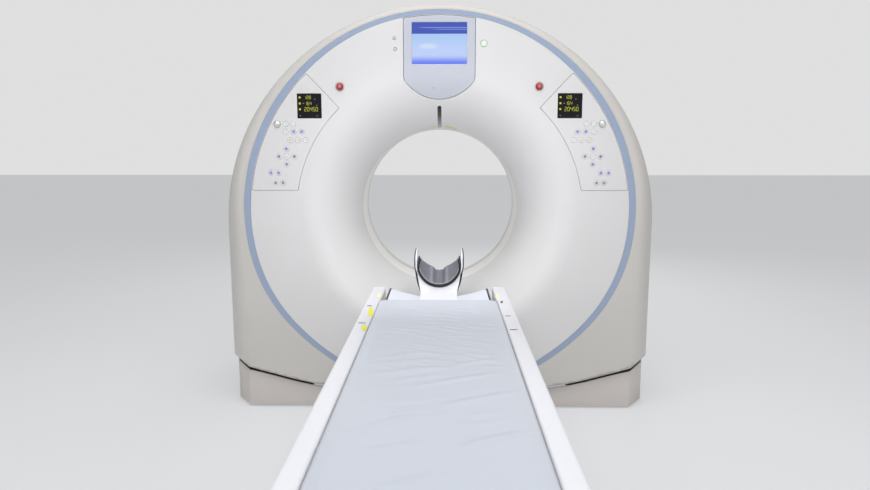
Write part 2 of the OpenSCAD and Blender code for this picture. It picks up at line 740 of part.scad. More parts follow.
// Trough of the tabletop: arcs through its edges and its middle
trough_z = rail_top - 3 - trough;
arc_r = (pow(table_w / 2, 2) + pow(trough, 2)) / (2 * trough);
under_rise = trough + 4;
under_r = (pow(table_w / 2, 2) + pow(under_rise, 2)) / (2 * under_rise);
table_y = head_y - 5;
table_len = 2340;
module trough_section() difference() {
  intersection() {
    translate([0, trough_z - table_t + under_r]) circle(under_r, $fn = 180);
    translate([-table_w / 2, trough_z - table_t]) square([table_w, trough + table_t]);
  }
  translate([0, trough_z + arc_r]) circle(arc_r, $fn = 180);
}
module tabletop() color("dimgray") at_axis() translate([0, table_y, 0]) rotate([90, 0, 0])
  linear_extrude(table_len) trough_section();

pad_end = 60;
module mattress() color("lightsteelblue") at_axis() translate([0, table_y - pad_end / 2, 0])
  rotate([90, 0, 0]) linear_extrude(table_len - pad_end) intersection() {
    difference() {
      translate([0, trough_z + arc_r]) circle(arc_r - seat, $fn = 180);
      translate([0, trough_z + arc_r]) circle(arc_r - seat - pad_t, $fn = 180);
    }
    translate([-table_w / 2 + 8, trough_z]) square([table_w - 16, trough + pad_t]);
  }

carriage_w = 300;
carriage_in = 20;
carriage_len = table_len - table_travel - carriage_in - 140;
module table_carriage() color("silver") at_axis()
  translate([-carriage_w / 2, table_y - table_len + carriage_in, pan_z + skin + seat])
    cube([carriage_w, carriage_len, trough_z - table_t - pan_z - skin - 2 * seat]);

// Headrest: a cupped holder on a tongue, and its pad
head_z = 712;
head_wall = 12;
holder_y = -half - 55;
arm_top = head_z + 60;
module headrest_holder() color("white") at_axis() {
  translate([0, holder_y + head_len, 0]) rotate([90, 0, 0]) linear_extrude(head_len)
    difference() {
      union() {
        translate([0, head_z]) circle(head_r);
        translate([-head_r, head_z]) square([2 * head_r, arm_top - head_z]);
      }
      translate([0, head_z]) circle(head_r - head_wall);
      translate([-head_r + head_wall, head_z]) square([2 * (head_r - head_wall), 2 * head_r]);
      translate([-head_r - eps, arm_top]) square([2 * head_r + 2 * eps, head_r]);
    }
  translate([-80, table_y + seat, trough_z + 4]) cube([160, holder_y - table_y - seat + 30, 16]);
}

pad_top = head_z + 22;
pad_r = head_r - head_wall - 0.5;
module headrest_pad() color("dimgray") at_axis() translate([0, holder_y + head_len - 5, 0])
  rotate([90, 0, 0]) linear_extrude(head_len - 10) difference() {
    intersection() {
      union() {
        translate([0, head_z]) circle(pad_r);
        translate([-pad_r, head_z]) square([2 * pad_r, pad_top - head_z]);
      }
      translate([-pad_r, head_z - head_r]) square([2 * pad_r, pad_top - head_z + head_r]);
    }
    translate([0, pad_top + 62]) circle(108);
    translate([0, pad_top - 45]) circle(20);
  }

base_frame();
left_stand();
right_stand();
tilt_bearings();
tilt_gearbox();
base_front_cover();
base_rear_cover();
levelling_feet();
link_duct();
couch_base_plate();
couch_base_cover();
lower_shroud();
outer_column();
tilt_frame();
outer_front_shell();
outer_rear_shell();
front_cover();
rear_cover();
accent_ring();
bore_window();
display_housing();
display_screen();
left_operator_panel();
right_operator_panel();
number_displays();
left_keypad();
right_keypad();
laser_window();
laser_sill();
indicator_lamps();
estop_collars();
outer_race();
brush_block();
cover_brackets();
rotor_disc();
inner_race();
xray_tube();
collimator();
detector_arc();
slip_ring();
generator();
tube_cooler();
left_estop_button();
right_estop_button();
left_dome_button();
right_dome_button();
couch_frame();
left_rail_cover();
right_rail_cover();
foot_end_cover();
head_end_cover();
upper_shroud();
inner_column();
mid_shroud();
tabletop();
mattress();
headrest_holder();
headrest_pad();
table_carriage();
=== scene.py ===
import json
import math

import bpy
import numpy as np
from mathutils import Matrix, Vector, geometry, kdtree
from mathutils.bvhtree import BVHTree


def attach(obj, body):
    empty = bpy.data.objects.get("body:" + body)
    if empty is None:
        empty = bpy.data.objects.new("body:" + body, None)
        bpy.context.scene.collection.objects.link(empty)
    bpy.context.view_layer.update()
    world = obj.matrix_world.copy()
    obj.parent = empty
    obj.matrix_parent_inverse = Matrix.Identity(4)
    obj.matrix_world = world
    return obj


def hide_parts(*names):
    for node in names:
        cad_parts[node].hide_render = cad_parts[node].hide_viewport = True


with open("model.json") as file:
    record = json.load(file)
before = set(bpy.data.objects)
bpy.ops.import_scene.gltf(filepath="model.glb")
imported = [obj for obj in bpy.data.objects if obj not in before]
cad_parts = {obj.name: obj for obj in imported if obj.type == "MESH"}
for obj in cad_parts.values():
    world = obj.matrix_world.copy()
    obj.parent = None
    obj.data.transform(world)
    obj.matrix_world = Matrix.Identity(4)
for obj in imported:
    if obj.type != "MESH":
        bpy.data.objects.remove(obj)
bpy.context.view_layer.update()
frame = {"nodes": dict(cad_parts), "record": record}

cadNodes = frame["nodes"]
scene = bpy.context.scene


def addObject(name, data):
    thing = bpy.data.objects.new(name, data)
    scene.collection.objects.link(thing)
    return thing


# the camera, where the photograph was taken from
photoView = {"place": (0.023, -2.1225, 1.212), "down": 8.3, "left": 0.82, "lens": 26.9, "nearest": 0.05}
camera = addObject("camera", bpy.data.cameras.new("camera"))
camera.location = photoView["place"]
camera.rotation_euler = (math.radians(90 - photoView["down"]), 0, math.radians(photoView["left"]))
camera.data.lens, camera.data.clip_start = photoView["lens"], photoView["nearest"]
scene.camera = camera
scene.view_settings.view_transform = "Standard"


def tone(red, green, blue):  # picked values from 0 to 255, as linear light
    def linear(part):
        part /= 255
        return part / 12.92 if part < 0.0405 else ((part + 0.055) / 1.055) ** 2.4
    return (linear(red), linear(green), linear(blue), 1)


def shade(colour, by):
    return tuple(part * by for part in colour[:3]) + (1,)


class Signal:
    def __init__(self, finish, socket):
        self.finish, self.socket = finish, socket

    def maths(self, operation, *others, swap=False, clamp=False):
        node = self.finish.tree.nodes.new("ShaderNodeMath")
        node.operation, node.use_clamp = operation, clamp
        terms = [self, *others]
        if swap:
            terms.reverse()
        for socket, term in zip(node.inputs, terms):
            self.finish.plug(socket, term)
        return Signal(self.finish, node.outputs[0])

    def __add__(self, other): return self.maths("ADD", other)
    def __sub__(self, other): return self.maths("SUBTRACT", other)
    def __rsub__(self, other): return self.maths("SUBTRACT", other, swap=True)
    def __mul__(self, other): return self.maths("MULTIPLY", other)
    def __truediv__(self, other): return self.maths("DIVIDE", other)
    def __abs__(self): return self.maths("ABSOLUTE")
    __radd__, __rmul__ = __add__, __mul__

    def rise(self, low, high):  # 0 below low, 1 above high, smooth between
        part = ((self - low) / (high - low)).maths("ADD", 0, clamp=True)
        return part * part * (3 - 2 * part)

    def band(self, low, high, soft):
        return self.rise(low - soft, low + soft) * (1 - self.rise(high - soft, high + soft))

    def top(self, other):
        return self.maths("MAXIMUM", other)


class NodeTree:
    def __init__(self, tree):
        self.tree = tree

    def plug(self, socket, item):
        if isinstance(item, Signal):
            item = item.socket
        if isinstance(item, bpy.types.NodeSocket):
            self.tree.links.new(item, socket)
        else:
            socket.default_value = item

    def add(self, kind, settings={}, sockets={}):
        node = self.tree.nodes.new("ShaderNode" + kind)
        for name, value in settings.items():
            setattr(node, name, value)
        for name, item in sockets.items():
            self.plug(node.inputs[name], item)
        return node


class Finish(NodeTree):
    def __init__(self, name, colour=None, rough=0.5, metal=0):
        self.material = bpy.data.materials.new(name)
        self.material.use_nodes = True
        super().__init__(self.material.node_tree)
        self.shader = self.tree.nodes["Principled BSDF"]
        self.where = None
        self.set("Roughness", rough)
        self.set("Metallic", metal)
        if colour:
            self.set("Base Color", colour)

    def set(self, socket, item):
        self.plug(self.shader.inputs[socket], item)

    def place(self):
        if self.where is None:
            self.where = self.add("TexCoord").outputs["Object"]
        return self.where

    def axes(self):
        split = self.add("SeparateXYZ", {}, {0: self.place()})
        return [Signal(self, out) for out in split.outputs]

    def stretched(self, factors):
        node = self.add("VectorMath", {"operation": "MULTIPLY"}, {0: self.place(), 1: factors})
        return node.outputs[0]

    def clouds(self, scale, detail=3, rough=0.5, at=None):
        node = self.add("TexNoise", {}, {
            "Vector": at or self.place(), "Scale": scale, "Detail": detail, "Roughness": rough})
        return Signal(self, node.outputs[0])

    def mix(self, mask, first, second):
        node = self.add("Mix", {"data_type": "RGBA"}, {0: mask, 6: first, 7: second})
        return node.outputs[2]

    def relief(self, height, distance):
        node = self.add("Bump", {}, {"Strength": 1, "Distance": distance, "Height": height})
        self.set("Normal", node.outputs[0])

    def glow(self, colour, strength):
        self.set("Emission Color", colour)
        self.set("Emission Strength", strength)
        return self.material


plastic = {"broad": 2.3, "fine": 46, "grain": 620, "peel": 0.00006, "bottomTone": tone(150, 142, 128), "bottomToneTop": 0.16}


def moulded(name, colour, rough, mottle=0.975, bottomDarkening=0):
    finish = Finish(name)
    broad, fine = finish.clouds(plastic["broad"]), finish.clouds(plastic["fine"], 4, 0.62)
    grain = finish.clouds(plastic["grain"], 2)
    body = finish.mix(broad.rise(0.35, 0.7) * 0.7 + fine * 0.3, shade(colour, mottle), colour)
    # colour darkens and warms towards the floor, fading out higher up
    if bottomDarkening:
        aboveBottom = finish.axes()[2].rise(0.012, plastic["bottomToneTop"])
        body = finish.mix((1 - aboveBottom) * (0.35 + fine) * bottomDarkening, body, plastic["bottomTone"])
    finish.set("Base Color", body)
    finish.set("Roughness", rough - 0.03 + 0.05 * fine + 0.05 * broad)
    finish.relief(grain + 0.6 * fine, plastic["peel"])
    return finish.material


def enamel(name, colour, rough=0.45):
    finish = Finish(name)
    spots, fine = finish.clouds(9, 4), finish.clouds(900, 2)
    finish.set("Base Color", finish.mix(spots.rise(0.3, 0.75), shade(colour, 0.88), colour))
    finish.set("Roughness", rough + 0.12 * spots)
    finish.relief(fine, 0.00015)
    return finish.material


def bareMetal(name, colour, rough=0.3, grainAt=(9, 900, 900)):
    finish = Finish(name, metal=1)
    lines = finish.clouds(1, 3, 0.6, finish.stretched(grainAt))
    dull = finish.clouds(14, 4)
    finish.set("Base Color", finish.mix(dull.rise(0.3, 0.8), shade(colour, 0.84), colour))
    finish.set("Roughness", rough - 0.05 + 0.18 * lines + 0.06 * dull)
    finish.relief(lines, 0.00005)
    return finish.material


def padVinylPaintedShade(name, colour):  # painted shade along the two grooves, a painted highlight on the puffed band outside each
    finish = Finish(name)
    side, spots, grain = abs(finish.axes()[0]), finish.clouds(16, 4, 0.6), finish.clouds(420, 3)
    body = finish.mix(spots.rise(0.3, 0.75) * 0.6, colour, shade(colour, 0.8))
    # painted shade: darker bands along the pad's two grooves
    body = finish.mix(side.band(0.013, 0.0245, 0.004) * 0.75, body, shade(colour, 0.66))
    # painted highlight: paler bands along the puffed ridges outside the grooves
    body = finish.mix(side.band(0.029, 0.041, 0.005) * 0.6, body, tone(150, 152, 168))
    finish.set("Base Color", body)
    finish.set("Roughness", 0.44 + 0.14 * spots)
    finish.relief(grain + 1.5 * spots, 0.00035)
    return finish.material


finishes = {
    "base_white": moulded("baseCoverPaint", tone(212, 206, 202), 0.42, bottomDarkening=0.15),
    "shell_white": moulded("shellPaint", tone(205, 202, 198), 0.36),
    "cover_white": moulded("frontCoverPlastic", tone(220, 219, 220), 0.33),
    "ring_blue": moulded("ringPaint", tone(154, 169, 195), 0.3),
    "housing_blue": moulded("displayHousingPlastic", tone(194, 198, 209), 0.28),
    "collar_white": moulded("buttonCollarPlastic", tone(226, 221, 220), 0.35),
    "couch_white": moulded("couchCoverPlastic", tone(233, 234, 239), 0.3),
    "shroud_grey": moulded("telescopePaint", tone(214, 214, 216), 0.4),
    "sill_grey": moulded("sillPlastic", tone(176, 176, 172), 0.45),
    "painted_steel": enamel("frameEnamel", tone(118, 122, 127)),
    "drive_grey": enamel("driveEnamel", tone(96, 101, 106)),
    "detector_blue": enamel("detectorEnamel", tone(70, 84, 122)),
    "bearing_steel": bareMetal("bearingSteel", (0.56, 0.57, 0.58, 1)),
    "rotor_metal": bareMetal("rotorCasting", (0.62, 0.63, 0.64, 1), 0.42, (60, 60, 60)),
    "tube_metal": bareMetal("tubeCasting", (0.66, 0.67, 0.68, 1), 0.38, (40, 40, 40)),
    "slip_brass": bareMetal("contactRings", (0.78, 0.6, 0.3, 1), 0.26, (1, 1400, 1)),
    "dome_silver": bareMetal("domeChrome", (0.88, 0.88, 0.87, 1), 0.36),
    "copper_brown": enamel("brushInsulator", tone(120, 84, 60), 0.6),
    "foot_rubber": enamel("footRubber", tone(44, 44, 46), 0.8),
    "key_grey": moulded("keyMatRubber", tone(196, 196, 206), 0.55),
    "laser_black": moulded("darkWindow", tone(22, 22, 24), 0.12, mottle=0.7),
    "lamp_green": moulded("lampLens", tone(222, 240, 222), 0.2),
    "stop_red": moulded("stopButtonRed", tone(168, 48, 54), 0.3),
    "head_pad": padVinylPaintedShade("headPadVinylPaintedShade", tone(118, 119, 129)),
    "carbon_black": enamel("tableLaminate", tone(52, 52, 56), 0.35),
    "mattress_cover": moulded("mattressCover", tone(214, 219, 230), 0.4),
    "screen": moulded("glassBlack", tone(18, 18, 22), 0.1, mottle=0.8),
}
print("finishes made:", len(finishes))

slotOf = {part["node"]: part["material_slot"] for part in frame["record"]["subparts"]}
edges = {"width": 0.0025, "angle": 32, "steps": 3, "weld": 0.00002}
for node, piece in cadNodes.items():
    piece.data.materials.clear()
    piece.data.materials.append(finishes[slotOf[node]])
    piece.data.shade_smooth()
    piece.modifiers.new("weld", "WELD").merge_threshold = edges["weld"]
    rim = piece.modifiers.new("softEdges", "BEVEL")
    rim.width, rim.segments, rim.limit_method = edges["width"], edges["steps"], "ANGLE"
    rim.angle_limit, rim.harden_normals = math.radians(edges["angle"]), True
    rim.use_clamp_overlap = True
print("solids dressed:", len(cadNodes))


def addPiece(name, shape, body, slot, node=None, material=None, indices=None):
    points, faces, *normals = shape
    mesh = bpy.data.meshes.new(name)
    mesh.from_pydata([tuple(map(float, p)) for p in points], [], [tuple(map(int, f)) for f in faces])
    for item in material if isinstance(material, list) else [material or finishes[slot]]:
        mesh.materials.append(item)
    if indices is not None:
        mesh.polygons.foreach_set("material_index", np.asarray(indices, np.int32))
    mesh.shade_smooth()
    if normals:
        mesh.normals_split_custom_set_from_vertices([tuple(map(float, n)) for n in normals[0]])
    mesh.update()
    piece = addObject(name, mesh)
    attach(piece, body)
    if node:
        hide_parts(node)
    return piece


def ease(t):
    t = np.clip(t, 0, 1)
    return t * t * (3 - 2 * t)


def unit(rows):
    return rows / np.maximum(np.linalg.norm(rows, axis=-1, keepdims=True), 1e-9)


# the moulded gantry covers, from the same sizes as the solids
gantry = {
    "axisY": 1.2875, "axisZ": 0.93, "half": 0.49, "boreR": 0.39, "boreHalf": 0.095, "flareR": 0.62,
    "faceR": 0.852, "shellR": 0.992, "shellDrop": 0.07, "rounding": 0.14, "edgeR": 0.888}
ring = {
    "outR": 0.882, "drop": 0.001, "gap": 0.0006, "drawnIn": 0.2, "drawnFrom": 0.1, "drawnOver": 0.72,
    "raised": 0.0145, "raisedOut": 0.0025, "raisedFrom": 0.5, "raisedOver": 0.36, "steps": 480,
    "profile": [(0, -0.014), (0, -0.003), (0.03, -0.0012), (0.1, -0.0003), (0.5, 0.0), (0.93, -0.0001),
                (0.98, -0.0006), (1, -0.002), (1, -0.014)]}
seam = {"low": -0.822, "rise": 0.106, "from": 0.47, "to": 1.052}
base = {  # the base covers' plan, and what the tilting covers keep clear of them
    "x": [0, 0.9, 0.98, 1.002, 1.052], "front": [0.458, 0.458, 0.358, 0.268, 0.268], "wall": 0.006,
    "gap": 0.012, "spare": 0.004, "cutTop": -0.56}


def seamHeight(x):
    return seam["low"] + seam["rise"] * ease((np.abs(x) - seam["from"]) / (seam["to"] - seam["from"]))


def insideDepth(x):
    return np.interp(np.abs(x) + base["wall"], base["x"], base["front"]) - base["wall"]


sweepKnots = np.concatenate([np.linspace(seam["from"], 0.9, 9), [0.98, 0.996, seam["to"]]])
sweepRadii = np.hypot(seamHeight(sweepKnots) - base["gap"], insideDepth(sweepKnots)) - base["spare"]


def sweepRadius(x):
    return np.interp(np.abs(x), sweepKnots, sweepRadii)


def flareRow(a):  # radius, depth and normal (outwards, forwards) at a degrees round the flare
    wide, long = gantry["flareR"] - gantry["boreR"], gantry["half"] - gantry["boreHalf"]
    s, c = np.sin(np.radians(a)), np.cos(np.radians(a))
    size = np.hypot(long * s, wide * c)
    return gantry["flareR"] - wide * s, gantry["boreHalf"] + long * c, -long * s / size, wide * c / size


def faceSurface(x, z):
    x, z = np.asarray(x, float), np.asarray(z, float)
    r = np.maximum(np.hypot(x, z), 1e-6)
    s = np.clip((gantry["flareR"] - r) / (gantry["flareR"] - gantry["boreR"]), 0, 1)
    radius, depth, out, ahead = flareRow(np.degrees(np.arcsin(s)))
    out, ahead = np.where(s > 0, out, 0.0), np.where(s > 0, ahead, 1.0)
    return sweepCut(x, z, depth, np.stack([out * x / r, ahead, out * z / r], -1))


def sweepCut(x, z, depth, normal, reach=0.004):  # the bottom is cut back to clear the base in a tilt
    limit = sweepRadius(x)
    room = np.sqrt(np.maximum(limit ** 2 - z ** 2, 0))
    slope = (sweepRadius(np.abs(x) + reach) - sweepRadius(np.abs(x) - reach)) / (2 * reach) * np.sign(x)
    swept = unit(np.stack([-limit * slope, room, z], -1))
    cut = (z < base["cutTop"]) & (room < depth)
    return np.where(cut, room, depth), np.where(cut[..., None], swept, normal)


def flatFace(depth, cut=False):
    def surface(x, z):
        level, ahead = np.full(len(x), depth), np.tile([0, 1.0, 0], (len(x), 1))
        return sweepCut(x, z, level, ahead) if cut else (level, ahead)
    return surface


def toRow(x, z, depth, back=False):
    y = gantry["axisY"] + (1 if back else -1) * depth
    return np.stack([x, y, gantry["axisZ"] + z], -1)


def ringShape(points, raised=ring["raised"]):  # a little high at the top, drawn in towards the floor
    points = np.array(points, float)
    low = np.clip((-points[..., 1] - ring["drawnFrom"]) / ring["drawnOver"], 0, 1.03)
    high = ease((points[..., 1] - ring["raisedFrom"]) / ring["raisedOver"])
    points[..., 0] *= 1 - ring["drawnIn"] * low ** 3.5
    points[..., 1] *= 1 + raised * high
    return points


def arc(radius, first, last, count, x=0, z=0):  # first and last in degrees
    a = np.radians(np.linspace(first, last, count))
    return np.stack([x + radius * np.cos(a), z + radius * np.sin(a)], -1)


def roundOf(steps):
    return np.arange(steps) * 2 * math.pi / steps


def circle(x, z, radius, steps):
    a = roundOf(steps)
    return np.stack([x + radius * np.cos(a), z + radius * np.sin(a)], -1)


def along(points, step):  # a closed loop with points no further apart than step
    rows = []
    for a, b in zip(points, np.roll(points, -1, 0)):
        count = max(1, int(math.ceil(np.linalg.norm(b - a) / step)))
        rows += [a + (b - a) * k / count for k in range(count)]
    return np.array(rows)


def softCorners(points, radius, limit=25, steps=5, upTo=9):
    points, rows = np.asarray(points, float), []
    for k in range(len(points)):
        a, b, c = points[k - 1], points[k], points[(k + 1) % len(points)]
        before, after = np.linalg.norm(a - b), np.linalg.norm(c - b)
        u, v = (a - b) / before, (c - b) / after
        turn = math.degrees(math.acos(np.clip(-np.dot(u, v), -1, 1)))
        if turn < limit or b[1] > upTo:
            rows.append(b)
            continue
        reach = min(radius * math.tan(math.radians(turn) / 2), 0.45 * before + 1, 0.45 * after + 1)
        for t in np.linspace(0, 1, steps + 1):
            rows.append((1 - t) ** 2 * (b + u * reach) + 2 * t * (1 - t) * b + t * t * (b + v * reach))
    return np.array(rows)


def box(x, z, w, h):  # from its middle, half width and half height
    return [(x - w, z - h), (x + w, z - h), (x + w, z + h), (x - w, z + h)]


def squareLoop(x, z, w, h, corner):
    return along(softCorners(box(x, z, w, h), corner), 0.012)


def mirrored(loop):
    return (loop * np.array([-1, 1]))[::-1]


def sideways(loop):  # outwards for a counter-clockwise loop
    tangent = unit(np.roll(loop, -1, 0) - np.roll(loop, 1, 0))
    return np.stack([tangent[:, 1], -tangent[:, 0]], -1)


def insideLoop(points, loop, batch=4000):
    a, b = loop, np.roll(loop, -1, 0)
    found = np.zeros(len(points), bool)
    climb = np.where(b[:, 1] == a[:, 1], 1e-12, b[:, 1] - a[:, 1])
    for start in range(0, len(points), batch):
        p = points[start:start + batch, None, :]
        crosses = (a[None, :, 1] > p[..., 1]) != (b[None, :, 1] > p[..., 1])
        across = (b - a)[None, :, 0] * (p[..., 1] - a[None, :, 1]) / climb + a[None, :, 0]
        found[start:start + batch] = (np.sum(crosses & (p[..., 0] < across), 1) % 2).astype(bool)
    return found


def insideAll(points, loops):  # inside the first loop and outside the others
    found = insideLoop(points, loops[0])
    for loop in loops[1:]:
        found &= ~insideLoop(points, loop)
    return found


def skin(outer, holes, seeds, surface, lip=0.0015, wall=0.01, back=False, keep=0.004, plainHoles=()):
    loops = [(outer, 1, True)] + [(h, -1, True) for h in holes] + [(h, -1, False) for h in plainHoles]
    shrunk = [loop - side * lip * sideways(loop) if soft else loop for loop, side, soft in loops]
    flat, links, starts = [], [], []
    for loop in shrunk:
        start = len(flat)
        starts.append(start)
        flat += [tuple(p) for p in loop]
        links += [(start + k, start + (k + 1) % len(loop)) for k in range(len(loop))]
    if len(seeds):
        tree = kdtree.KDTree(len(flat))
        for k, p in enumerate(flat):
            tree.insert((p[0], p[1], 0), k)
        tree.balance()
        ok = insideAll(seeds, shrunk)
        flat += [tuple(p) for p, good in zip(seeds, ok) if good and tree.find((p[0], p[1], 0))[2] > keep]
    verts, _, tris, origin, _, _ = geometry.delaunay_2d_cdt([Vector(p) for p in flat], links, [], 0, 1e-7)
    spots = np.array([tuple(v) for v in verts])
    tris = np.array([t for t in tris if len(t) == 3])
    tris = tris[insideAll(spots[tris].mean(1), shrunk)]
    e1, e2 = spots[tris[:, 1]] - spots[tris[:, 0]], spots[tris[:, 2]] - spots[tris[:, 0]]
    flip = e1[:, 0] * e2[:, 1] - e1[:, 1] * e2[:, 0] < 0
    tris[flip] = tris[flip][:, ::-1]
    where = {i: k for k, ids in enumerate(origin) for i in ids}
    depth, normal = surface(spots[:, 0], spots[:, 1])
    points, normals = list(np.column_stack([spots, depth])), list(normal)
    faces = [tuple(t) for t in tris]
    turns = np.radians([30, 60, 90])
    rows = [(lip * math.sin(f), lip * (1 - math.cos(f)), math.cos(f), math.sin(f)) for f in turns]
    rows.append((lip, lip + wall, 0, 1))
    for (loop, side, soft), small, start in zip(loops, shrunk, starts):
        if not soft:
            continue
        ids = [where[start + k] for k in range(len(loop))]
        depth, n = surface(small[:, 0], small[:, 1])
        edge = np.column_stack([small[:, 0], depth, small[:, 1]])
        gap = side * sideways(loop)
        g = np.column_stack([gap[:, 0], np.zeros(len(loop)), gap[:, 1]])
        g = unit(g - np.sum(g * n, 1, keepdims=True) * n)
        for out, down, cn, sn in rows:
            lower = edge + g * out - n * down
            fresh = list(range(len(points), len(points) + len(loop)))
            points += list(lower[:, [0, 2, 1]])
            normals += list(n * cn + g * sn)
            for k in range(len(loop)):
                m = (k + 1) % len(loop)
                quad = (fresh[k], fresh[m], ids[m], ids[k])
                faces.append(quad if side > 0 else quad[::-1])
            ids = fresh
    points, normals = np.array(points), np.array(normals)
    if back:
        faces = [f[::-1] for f in faces]
    world = toRow(points[:, 0], points[:, 1], points[:, 2], back)
    return world, faces, normals * np.array([1, 1 if back else -1, 1])


def merged(*parts):
    points, faces, normals, shift = [], [], [], 0
    for p, f, n in parts:
        points.append(p)
        normals.append(n)
        faces += [tuple(i + shift for i in face) for face in f]
        shift += len(p)
    return np.concatenate(points), faces, np.concatenate(normals)


def gridSheet(points, normals=None, closed=False, flip=False):
    rows, cols = points.shape[:2]
    faces = []
    for r in range(rows - 1):
        for c in range(cols if closed else cols - 1):
            a, b = r * cols + c, r * cols + (c + 1) % cols
            quad = (a, b, b + cols, a + cols)
            faces.append(quad[::-1] if flip else quad)
    sheet = (points.reshape(-1, 3), faces)
    return sheet if normals is None else sheet + (normals.reshape(-1, 3),)


sheetGrid = {
    "round": 360, "joinR": 0.47, "ringStep": 0.0088, "lowZ": (-0.816, -0.63, 0.012), "lowX": (-0.9, 0.901, 0.014)}
lowSeeds = np.array([(x, z) for z in np.arange(*sheetGrid["lowZ"]) for x in np.arange(*sheetGrid["lowX"])])
flareRings = np.arange(sheetGrid["joinR"] + 0.009, gantry["flareR"] + 0.001, sheetGrid["ringStep"])
flareRings = np.append(flareRings, gantry["flareR"])
flareSeeds = np.concatenate([circle(0, 0, r, sheetGrid["round"]) for r in flareRings])
coverSeeds = np.concatenate([flareSeeds, lowSeeds])
noSeeds = np.zeros((0, 2))

controls = {
    "panelIn": 0.642, "panelOut": 0.8485, "panelAngle": 46.5, "panelLow": 0.103, "panelCorner": 0.008,
    "housingHalf": 0.157, "housingLow": 0.506, "housingR": 0.192, "housingCorner": 0.05, "housingLip": 0.003,
    "seamGap": 0.0007, "lip": 0.0012, "holeGap": 0.0008, "keyGap": 0.0006}
stops = {
    "x": 0.437, "z": 0.558, "collarR": 0.019,
    "cap": [(11, -8), (11, -0.4), (14.6, 0.6), (15, 3.4), (14.4, 6.6), (12.6, 9.6), (9.5, 11.9), (5, 13.1),
            (0, 13.4)],
    "label": [(7.4, 12.75), (7.0, 12.95), (3, 13.55), (0, 13.7)],
    "collar": [(18.8, -6), (18.8, 0.2), (18.3, 1.2), (17.4, 1.7), (16.4, 1.5), (15.9, 0.6), (15.9, -8)],
    "well": [(16.2, -5), (10, -5.2), (0, -5.2)]}
dome = {
    "x": 0.719, "z": 0.396, "r": 0.015,
    "cap": [(14.8, -4), (14.6, 1), (13.8, 3), (11.5, 5.6), (8, 7.9), (4, 9.2), (0, 9.6)]}
number = {
    "x": 0.574, "z": 0.475, "half": 0.054, "sunk": 0.0022, "corner": 0.003,
    "gap": 0.0003, "lip": 0.0004, "wall": 0.008,
    "rows": [("128", 0.018, 0.037, 0.0145), ("-164", 0.026, 0.011, 0.0145), ("20450", 0.018, -0.014, 0.0175)]}
screen = {
    "x": 0, "z": 0.742, "half": 0.12, "high": 0.088, "sunk": 0.0035, "corner": 0.004, "glassCorner": 0.003,
    "gap": 0.0004, "lip": 0.0005, "wall": 0.008}
lamps = [(0.193, 0.740, 0.014), (-0.195, 0.764, 0.007), (-0.193, 0.718, 0.007)]  # x, z, radius
keypad = {
    "r": 0.0115, "steps": 36, "kinds": "wwwppaadpgwgpppgg", "tones": {"w": 3, "p": 1, "g": 2, "a": 4, "d": 3},
    "at": [(681, 397), (649, 396), (682, 363), (647, 363), (611, 363), (663, 326), (629, 326), (594, 326), (682, 288),
           (716, 254), (682, 254), (647, 254), (682, 220), (754, 181), (720, 181), (735, 137), (702, 137)],
    "profile": [(11.2, -6), (11.2, -0.6), (10.8, 0.4), (9.8, 0.9), (8.4, 0.8), (7.9, 0.2), (7.2, 0.2), (6.6, 0.7),
                (4, 0.95), (0, 1.0)],
    "capRows": 3, "arrows": {8: 0, 9: 90, 11: -90, 12: 180},  # which keys have arrows, and their turn
    "bar": [(-3.2, -0.6), (3.2, -0.6), (3.2, 0.6), (-3.2, 0.6)], "arrow": [(-3.4, -2.2), (3.4, -2.2), (0, 3.4)]}


def coverOutline():
    z, radius = seam["low"], gantry["faceR"]
    x = math.sqrt(radius ** 2 - z ** 2)
    first = math.degrees(math.atan2(z, x))
    level = np.linspace(-x, x, 60)[1:-1]
    return ringShape(np.concatenate([arc(radius, first, 180 - first, 300), np.stack([level, np.full(58, z)], -1)]))


def panelLoop(t):  # an operator panel's edge, t inside its seat
    inner, outer, low = controls["panelIn"] + t, controls["panelOut"] - t, controls["panelLow"] + t
    slope = math.radians(controls["panelAngle"])
    topOf = lambda r: math.degrees(slope - math.asin(1.45 * t * math.cos(slope) / r))
    lowOf = lambda r: math.degrees(math.asin(low / r))
    loop = [arc(outer, lowOf(outer), topOf(outer), 60), arc(inner, topOf(inner), lowOf(inner), 60)]
    return along(softCorners(np.concatenate(loop), controls["panelCorner"]), 0.008)


def housingLoop(t):
    half, r, out = controls["housingHalf"] - t, controls["housingR"] - t, controls["panelOut"] - t
    side, top = math.degrees(math.acos(half / r)), math.degrees(math.asin(half / out))
    low = arc(r, 180 + side, 360 - side, 60, z=controls["housingLow"] + controls["housingR"])
    loop = np.concatenate([low, arc(out, 90 - top, 90 + top, 50)])
    return ringShape(along(softCorners(loop, controls["housingCorner"], limit=20, upTo=0.8), 0.006))


def flareSheet(back=False):
    reach = (gantry["flareR"] - sheetGrid["joinR"]) / (gantry["flareR"] - gantry["boreR"])
    r, d, out, ahead = (row[:, None] for row in flareRow(np.linspace(math.degrees(math.asin(reach)), 90, 22)))
    a = roundOf(sheetGrid["round"])
    full = np.ones_like(a)
    points = toRow(r * np.cos(a), r * np.sin(a), d * full, back)
    n = np.stack([out * np.cos(a), (1 if back else -1) * ahead * full, out * np.sin(a)], -1)
    return gridSheet(points, n, closed=True, flip=back)


gap = controls["seamGap"]
frontHoles = [housingLoop(-gap), panelLoop(-gap), mirrored(panelLoop(-gap))]
frontHoles += [circle(s * stops["x"], stops["z"], stops["collarR"] + controls["holeGap"], 48) for s in (-1, 1)]
frontHoles += [circle(x, z, r + controls["holeGap"], 40) for x, z, r in lamps]
for name, back, holes in (("front", False, frontHoles), ("rear", True, [])):
    cover = skin(coverOutline(), holes, coverSeeds, faceSurface, controls["lip"], back=back,
                 plainHoles=[circle(0, 0, sheetGrid["joinR"], sheetGrid["round"])])
    addPiece(name + "Cover", merged(cover, flareSheet(back)), "gantry", "cover_white", name + "_cover")
print("end covers made")

